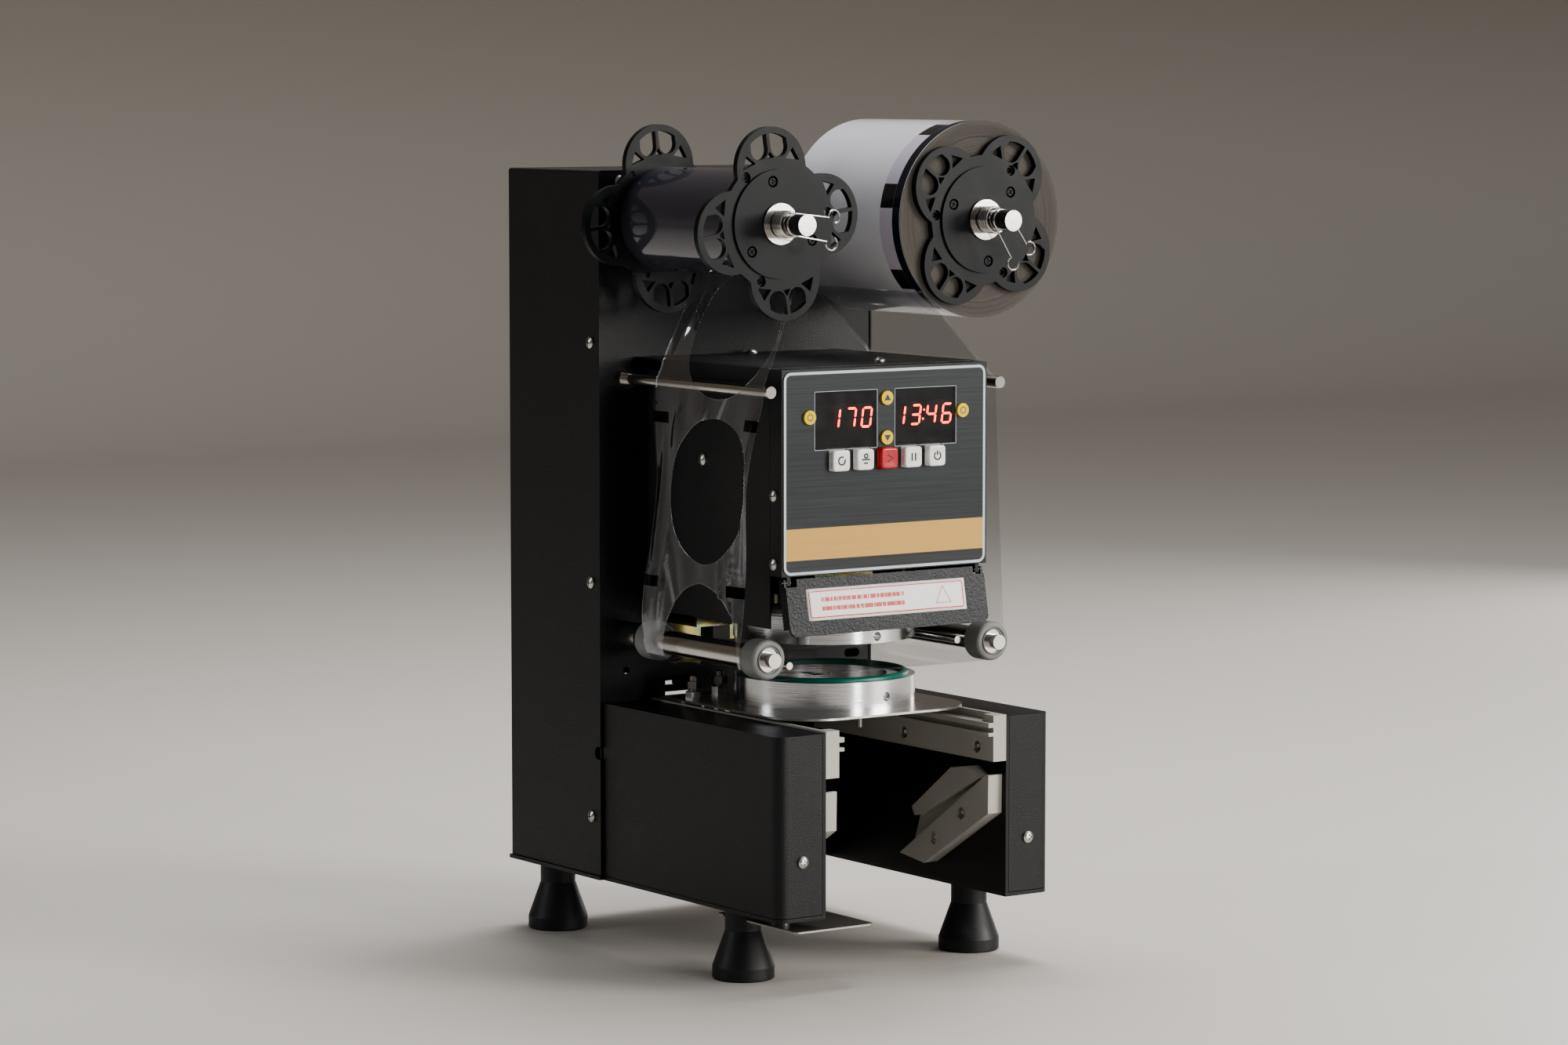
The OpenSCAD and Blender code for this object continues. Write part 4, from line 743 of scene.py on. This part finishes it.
reel_plastic, tree, shader = new_material("reel_plastic", (0.006, 0.007, 0.009), Roughness=0.3,
                                          Specular_IOR_Level=0.22)
scuff = noise(tree, place(tree), 55.0, 6.0, distortion=0.6)
feed(tree, shader, "Base Color", blend_colour(tree, ramp(tree, scuff, 0.45, 0.75),
                                              (0.003, 0.004, 0.0055, 1), (0.009, 0.011, 0.013, 1)))
feed(tree, shader, "Roughness", calc(tree, "ADD", 0.22, calc(tree, "MULTIPLY", scuff, 0.3)))
bumpy(tree, shader, scuff, 0.08, 0.0005)
dress(reel_plastic, "takeup_flanges", "supply_flanges")


def film_roll(name, node, side_low, side_high, side_rough, end_dark, end_light, printed):
    """Wound film: a pearly side, with printed edge marks where new, and fine rings on the ends."""
    low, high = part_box(node)
    centre = ((low.x + high.x) / 2, (low.y + high.y) / 2, (low.z + high.z) / 2)
    radius, half = (high.x - low.x) / 2, (high.y - low.y) / 2
    material, tree, shader = new_material(name, side_low, Roughness=side_rough, Coat_Roughness=0.06)
    spot = split(tree, place(tree, centre))
    out = calc(tree, "SQRT", calc(tree, "ADD", calc(tree, "POWER", spot[0], 2.0),
                                  calc(tree, "POWER", spot[2], 2.0)))
    turn = calc(tree, "DIVIDE", calc(tree, "ARCTAN2", spot[2], spot[0]), 2 * math.pi)
    on_end = ramp(tree, calc(tree, "ABSOLUTE", spot[1]), half - mm(0.5), half - mm(0.3))
    rings = add(tree, "ShaderNodeTexNoise", {"W": calc(tree, "MULTIPLY", out, 1600.0), "Detail": 3.0},
                noise_dimensions="1D")
    sweep = noise(tree, place(tree, centre, (1, 0.25, 1)), 34.0)
    ends = blend_colour(tree, rings.outputs[0], (*end_dark, 1), (*end_light, 1))
    side = blend_colour(tree, sweep, (*side_low, 1), (*side_high, 1))
    if printed:
        steps = calc(tree, "FRACT", calc(tree, "MULTIPLY", turn, 7.0))
        squares = between(tree, spot[1], -half + mm(9), -half + mm(23), mm(0.2))
        marks = calc(tree, "MULTIPLY", squares, between(tree, steps, 0.08, 0.36, 0.004))
        strip = between(tree, spot[1], -half + mm(1), -half + mm(9), mm(0.3))
        side = blend_colour(tree, calc(tree, "MULTIPLY", squares, 0.5), side, (0.42, 0.34, 0.46, 1))
        side = blend_colour(tree, strip, side, (0.006, 0.010, 0.022, 1))
        side = blend_colour(tree, marks, side, (0.012, 0.012, 0.016, 1))
    feed(tree, shader, "Base Color", blend_colour(tree, on_end, side, ends))
    height = calc(tree, "MULTIPLY", rings.outputs[0], on_end)
    bumpy(tree, shader, height, 0.5, 0.0004)
    rough = calc(tree, "ADD", side_rough, calc(tree, "MULTIPLY", on_end, 0.34))
    feed(tree, shader, "Roughness", rough)
    on_side = calc(tree, "MULTIPLY", calc(tree, "SUBTRACT", 1.0, on_end), 0.5)
    feed(tree, shader, "Coat Weight", on_side)
    dress(material, node)


film_roll("new_film", "supply_film_roll", (0.66, 0.66, 0.69), (0.82, 0.82, 0.85), 0.14,
          (0.022, 0.018, 0.014), (0.085, 0.070, 0.055), printed=True)
film_roll("used_film", "takeup_film_roll", (0.022, 0.024, 0.034), (0.060, 0.055, 0.070), 0.10,
          (0.02, 0.02, 0.024), (0.06, 0.06, 0.07), printed=False)


def plain(node_names, name, base, other, scale, roughness):
    """A quiet moulded or painted finish with a little tone and roughness drift."""
    material, tree, shader = new_material(name, base, Roughness=roughness)
    drift = noise(tree, place(tree), scale, 4.0)
    feed(tree, shader, "Base Color", blend_colour(tree, drift, (*base, 1), (*other, 1)))
    feed(tree, shader, "Roughness", calc(tree, "ADD", roughness - 0.08,
                                         calc(tree, "MULTIPLY", drift, 0.16)))
    bumpy(tree, shader, drift, 0.08, 0.0003)
    dress(material, *node_names)


dress(polished, "takeup_lock", "supply_lock")
plain(["left_roller_wheels", "right_roller_wheels"], "roller_rubber", (0.16, 0.165, 0.155),
      (0.21, 0.215, 0.20), 160.0, 0.5)
plain(["gear_motors", "press_motor"], "motor_paint", (0.12, 0.12, 0.125), (0.16, 0.16, 0.165),
      120.0, 0.4)
plain(["limit_switches", "power_inlet"], "black_moulding", (0.012, 0.012, 0.013),
      (0.02, 0.02, 0.021), 300.0, 0.4)
plain(["mains_rocker"], "red_rocker", (0.35, 0.015, 0.012), (0.28, 0.01, 0.01), 200.0, 0.3)

# ---------------------------------------------------------------- film web
# Clear film comes off the right reel, over a guide rod, round a roller, under the die, and up the
# left side to the take-up reel. Past the die it has a row of cut round holes, and it necks and
# wrinkles between them.

REEL_X, REEL_Z, SUPPLY_R, TAKEUP_R = mm(83.4, 498.5, 66.35, 35.35)
ROD_X, ROD_Z, ROD_R, ROLLER_X, ROLLER_Z, ROLLER_R = mm(93.3, 389.5, 4.45, 91.8, 214.2, 13.7)
FILM_MID_Y = COLUMN_Y - mm(100)
PITCH, HOLE_ALONG, HOLE_ACROSS, HOLE_SHIFT = mm(110, 48.5, 43.6, -9.5)
# Half the width by which places across the cut web are shared out
HALF_W = mm(56)
STOPS = [(REEL_X, REEL_Z, SUPPLY_R), (ROD_X, ROD_Z, -ROD_R), (ROLLER_X, ROLLER_Z, -ROLLER_R),
         (-ROLLER_X, ROLLER_Z, -ROLLER_R), (-ROD_X, ROD_Z, -ROD_R), (-REEL_X, REEL_Z, TAKEUP_R)]


def film_line():
    """Points (x, z) along the film and their distance: tangents between the stops, arcs round them."""
    def way(a, b):
        dx, dz = b[0] - a[0], b[1] - a[1]
        return math.atan2(dz, dx) + math.asin((a[2] - b[2]) / math.hypot(dx, dz))

    def touch(s, w):
        return (s[0] + s[2] * math.sin(w), s[1] - s[2] * math.cos(w))

    ways = [way(a, b) for a, b in zip(STOPS, STOPS[1:])]
    points = [touch(STOPS[0], ways[0])]
    for k in range(1, 5):
        turn = (ways[k] - ways[k - 1] + math.pi) % (2 * math.pi) - math.pi
        points += [touch(STOPS[k], ways[k - 1] + turn * t) for t in np.linspace(0, 1, 25)]
    points.append(touch(STOPS[5], ways[4]))
    points = np.array(points)
    run = np.concatenate([[0], np.cumsum(np.linalg.norm(np.diff(points, axis=0), axis=1))])
    under_die = np.interp(0, -points[26:52, 0], run[26:52])
    return points, run, under_die


LINE, RUN, UNDER_DIE = film_line()


def film_half_width(s):
    """Half the film's width at distance s past the die: it necks in where the holes are cut."""
    return np.interp(s, mm(0, 60, 100, 160, 222, 285, 330, 390),
                     mm(64.5, 62, 57, 55.8, 57, 64, 60, 63))


def film_middle(s):
    """The film's middle wanders to the front on its way up."""
    return FILM_MID_Y + np.interp(s, mm(60, 160, 222, 285, 390), mm(0, 0.8, -4, -9, 0))


# Creases as (share of the half width low down, and high up, run from, run to, height, half width)
CREASES = [(-0.62, -0.50, 128, 182, 1.5, 0.035), (-0.80, -0.76, 120, 190, -1.2, 0.03),
           (-0.90, -0.93, 150, 300, 1.0, 0.03), (0.78, 0.55, 105, 200, 1.8, 0.05),
           (0.30, 0.62, 130, 190, 1.1, 0.05), (0.88, 0.80, 120, 260, 1.6, 0.05),
           (0.60, 0.42, 245, 300, 1.8, 0.05), (0.10, -0.05, 262, 290, 1.4, 0.05),
           (-0.20, -0.42, 262, 290, -1.5, 0.045), (0.85, 0.70, 300, 380, 1.2, 0.05),
           (-0.85, -0.75, 300, 380, 1.3, 0.04)]


def film_points(s, share):
    """Points of the film at distance s past the die and share -1..1 of its half width.

    The film's line gives x and z. Off that line, along its normal, stand slow waves that fade at
    the rollers, a curl at both edges, and creases: narrow bell curves across the film, whose
    middle drifts as they run along it.
    """
    at = np.clip(s + UNDER_DIE, 0, RUN[-1])
    x, z = np.interp(at, RUN, LINE[:, 0]), np.interp(at, RUN, LINE[:, 1])
    step = mm(0.5)
    dx = np.interp(at + step, RUN, LINE[:, 0]) - np.interp(at - step, RUN, LINE[:, 0])
    dz = np.interp(at + step, RUN, LINE[:, 1]) - np.interp(at - step, RUN, LINE[:, 1])
    size = np.hypot(dx, dz) + 1e-12
    nx, nz = -dz / size, dx / size
    y = film_middle(s) + share * film_half_width(s)
    free = np.clip((s - mm(20)) / mm(60), 0, 1)
    for stop in (mm(102), mm(296), RUN[-1] - UNDER_DIE):
        free = free * np.clip(np.abs(s - stop) / mm(30), 0, 1)
    lift = 0.7 * np.sin(5.0 * share + s / mm(40)) + 0.35 * np.sin(13 * share - s / mm(21))
    lift = lift + 2.4 * np.abs(share) ** 6 * np.sin(s / mm(24) + 2 * np.sign(share))
    for low, high, start, end, height, wide in CREASES:
        t = np.clip((s - mm(start)) / mm(end - start), 0, 1)
        off = (share - low - (high - low) * t) / wide
        lift = lift + height * np.sin(math.pi * t) ** 0.7 * np.exp(-off ** 2)
    lift = mm(1) * free * lift
    return np.stack([x + nx * lift, y + 0 * x, z + nz * lift], axis=-1)


def hole_cell(k, rays=180, rings=18):
    """Grid between the saw-edged rim of hole k and the edges of its stretch of film.

    Rays leave the hole's middle; each runs from the oval rim to the straight boundary of the cell,
    and four of them to its corners.
    """
    turn = np.linspace(0, 2 * math.pi, rays, endpoint=False)
    for side, far in ((1, HALF_W - HOLE_SHIFT), (-1, HALF_W + HOLE_SHIFT)):
        for end in (1, -1):
            corner = math.atan2(side * far, end * PITCH / 2) % (2 * math.pi)
            turn[np.argmin(np.abs(turn - corner))] = corner
    c, s = np.cos(turn), np.sin(turn)
    reach = np.where(s > 0, HALF_W - HOLE_SHIFT, HALF_W + HOLE_SHIFT)
    box = np.minimum(PITCH / 2 / np.maximum(np.abs(c), 1e-9), reach / np.maximum(np.abs(s), 1e-9))
    rim = 1 / np.hypot(c / HOLE_ALONG, s / HOLE_ACROSS) + mm(0.3) * (-1) ** np.arange(rays)
    share = np.linspace(0, 1, rings)[None, :] ** 1.4
    dist = rim[:, None] * (1 - share) + box[:, None] * share
    along, across = k * PITCH + dist * c[:, None], (HOLE_SHIFT + dist * s[:, None]) / HALF_W
    return film_points(along, across), along, across, dist - rim[:, None]


def plain_cell(start, end, rows, columns):
    """Grid of uncut film between two distances past the die, with columns at the given shares."""
    along, across = np.broadcast_arrays(np.linspace(start, end, rows)[:, None], columns[None, :])
    return film_points(along, across), along, across, np.full(along.shape, mm(99))


holes = [hole_cell(k) for k in (1, 2, 3)]
# Uncut film meets the first hole's cell point for point
columns = np.sort(holes[0][2][:, -1][np.abs(holes[0][1][:, -1] - PITCH / 2) < 1e-7])
cells = [plain_cell(-UNDER_DIE, PITCH / 2, 170, columns), *holes,
         plain_cell(3.5 * PITCH, RUN[-1] - UNDER_DIE, 10, columns)]
verts, faces, marks, base = [], [], [], 0
for k, (grid, along, across, to_rim) in enumerate(cells):
    index = np.arange(along.size).reshape(along.shape) + base
    if k in (1, 2, 3):
        index = np.concatenate([index, index[:1]], axis=0)[:, ::-1]
    quads = np.stack([index[:-1, :-1], index[1:, :-1], index[1:, 1:], index[:-1, 1:]], axis=-1)
    faces.append(quads.reshape(-1, 4))
    verts.append(grid.reshape(-1, 3))
    to_edge = (1 - np.abs(across)) * film_half_width(along)
    marks.append(np.stack([along, to_edge, np.minimum(to_edge, to_rim)], axis=-1).reshape(-1, 3))
    base += along.size
mesh = bpy.data.meshes.new("film_sheet")
mesh.from_pydata(np.concatenate(verts).tolist(), [], np.concatenate(faces).tolist())
mesh.update()
mesh.polygons.foreach_set("use_smooth", [True] * len(mesh.polygons))
for name, values in zip(("along", "to_edge", "to_cut"), np.concatenate(marks).T):
    mesh.attributes.new(name, "FLOAT", "POINT").data.foreach_set("value", values)
web = bpy.data.objects.new("film_sheet", mesh)
bpy.context.scene.collection.objects.link(web)
weld = web.modifiers.new("weld", "WELD")
weld.merge_threshold = mm(0.02)
thick = web.modifiers.new("thickness", "SOLIDIFY")
thick.thickness = mm(0.06)
thick.offset = 0

# Clear film mirrors a little of the room, more of it at a flat angle; cut edges catch the light,
# and a black mark is printed at both edges once for each cup
clear_film, tree, shader = new_material("clear_film", (0.93, 0.95, 1.0), Roughness=0.08, Metallic=1.0)
run = add(tree, "ShaderNodeAttribute", attribute_name="along").outputs["Fac"]
to_edge = add(tree, "ShaderNodeAttribute", attribute_name="to_edge").outputs["Fac"]
to_cut = add(tree, "ShaderNodeAttribute", attribute_name="to_cut").outputs["Fac"]
place_in_pitch = calc(tree, "FRACT", calc(tree, "DIVIDE", calc(tree, "ADD", run, 10 * PITCH), PITCH))
eye_mark = calc(tree, "MULTIPLY", between(tree, place_in_pitch, 0.385, 0.455, 0.002),
                between(tree, to_edge, mm(-1), mm(17), mm(0.3)))
eye_mark = calc(tree, "MULTIPLY", eye_mark, ramp(tree, run, mm(-60), mm(-50)))
cut_line = calc(tree, "SUBTRACT", 1.0, ramp(tree, to_cut, mm(0.15), mm(0.7)))
cloud = noise(tree, place(tree, scale=(1, 1, 0.3)), 60.0, 3.0)
glance = calc(tree, "MINIMUM", add(tree, "ShaderNodeFresnel", {"IOR": 1.46}).outputs[0], 0.2)
veil = calc(tree, "ADD", glance, calc(tree, "MULTIPLY", cloud, 0.015))
veil = calc(tree, "ADD", veil, calc(tree, "MULTIPLY", cut_line, 0.16))
feed(tree, shader, "Alpha", calc(tree, "MAXIMUM", veil, calc(tree, "MULTIPLY", eye_mark, 0.8)))
feed(tree, shader, "Base Color", blend_colour(tree, eye_mark, (0.93, 0.95, 1.0, 1),
                                              (0.01, 0.01, 0.012, 1)))
feed(tree, shader, "Roughness", calc(tree, "ADD", 0.05, calc(tree, "MULTIPLY", cloud, 0.08)))
web.data.materials.append(clear_film)
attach(web, "chassis")
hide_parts("film_web")
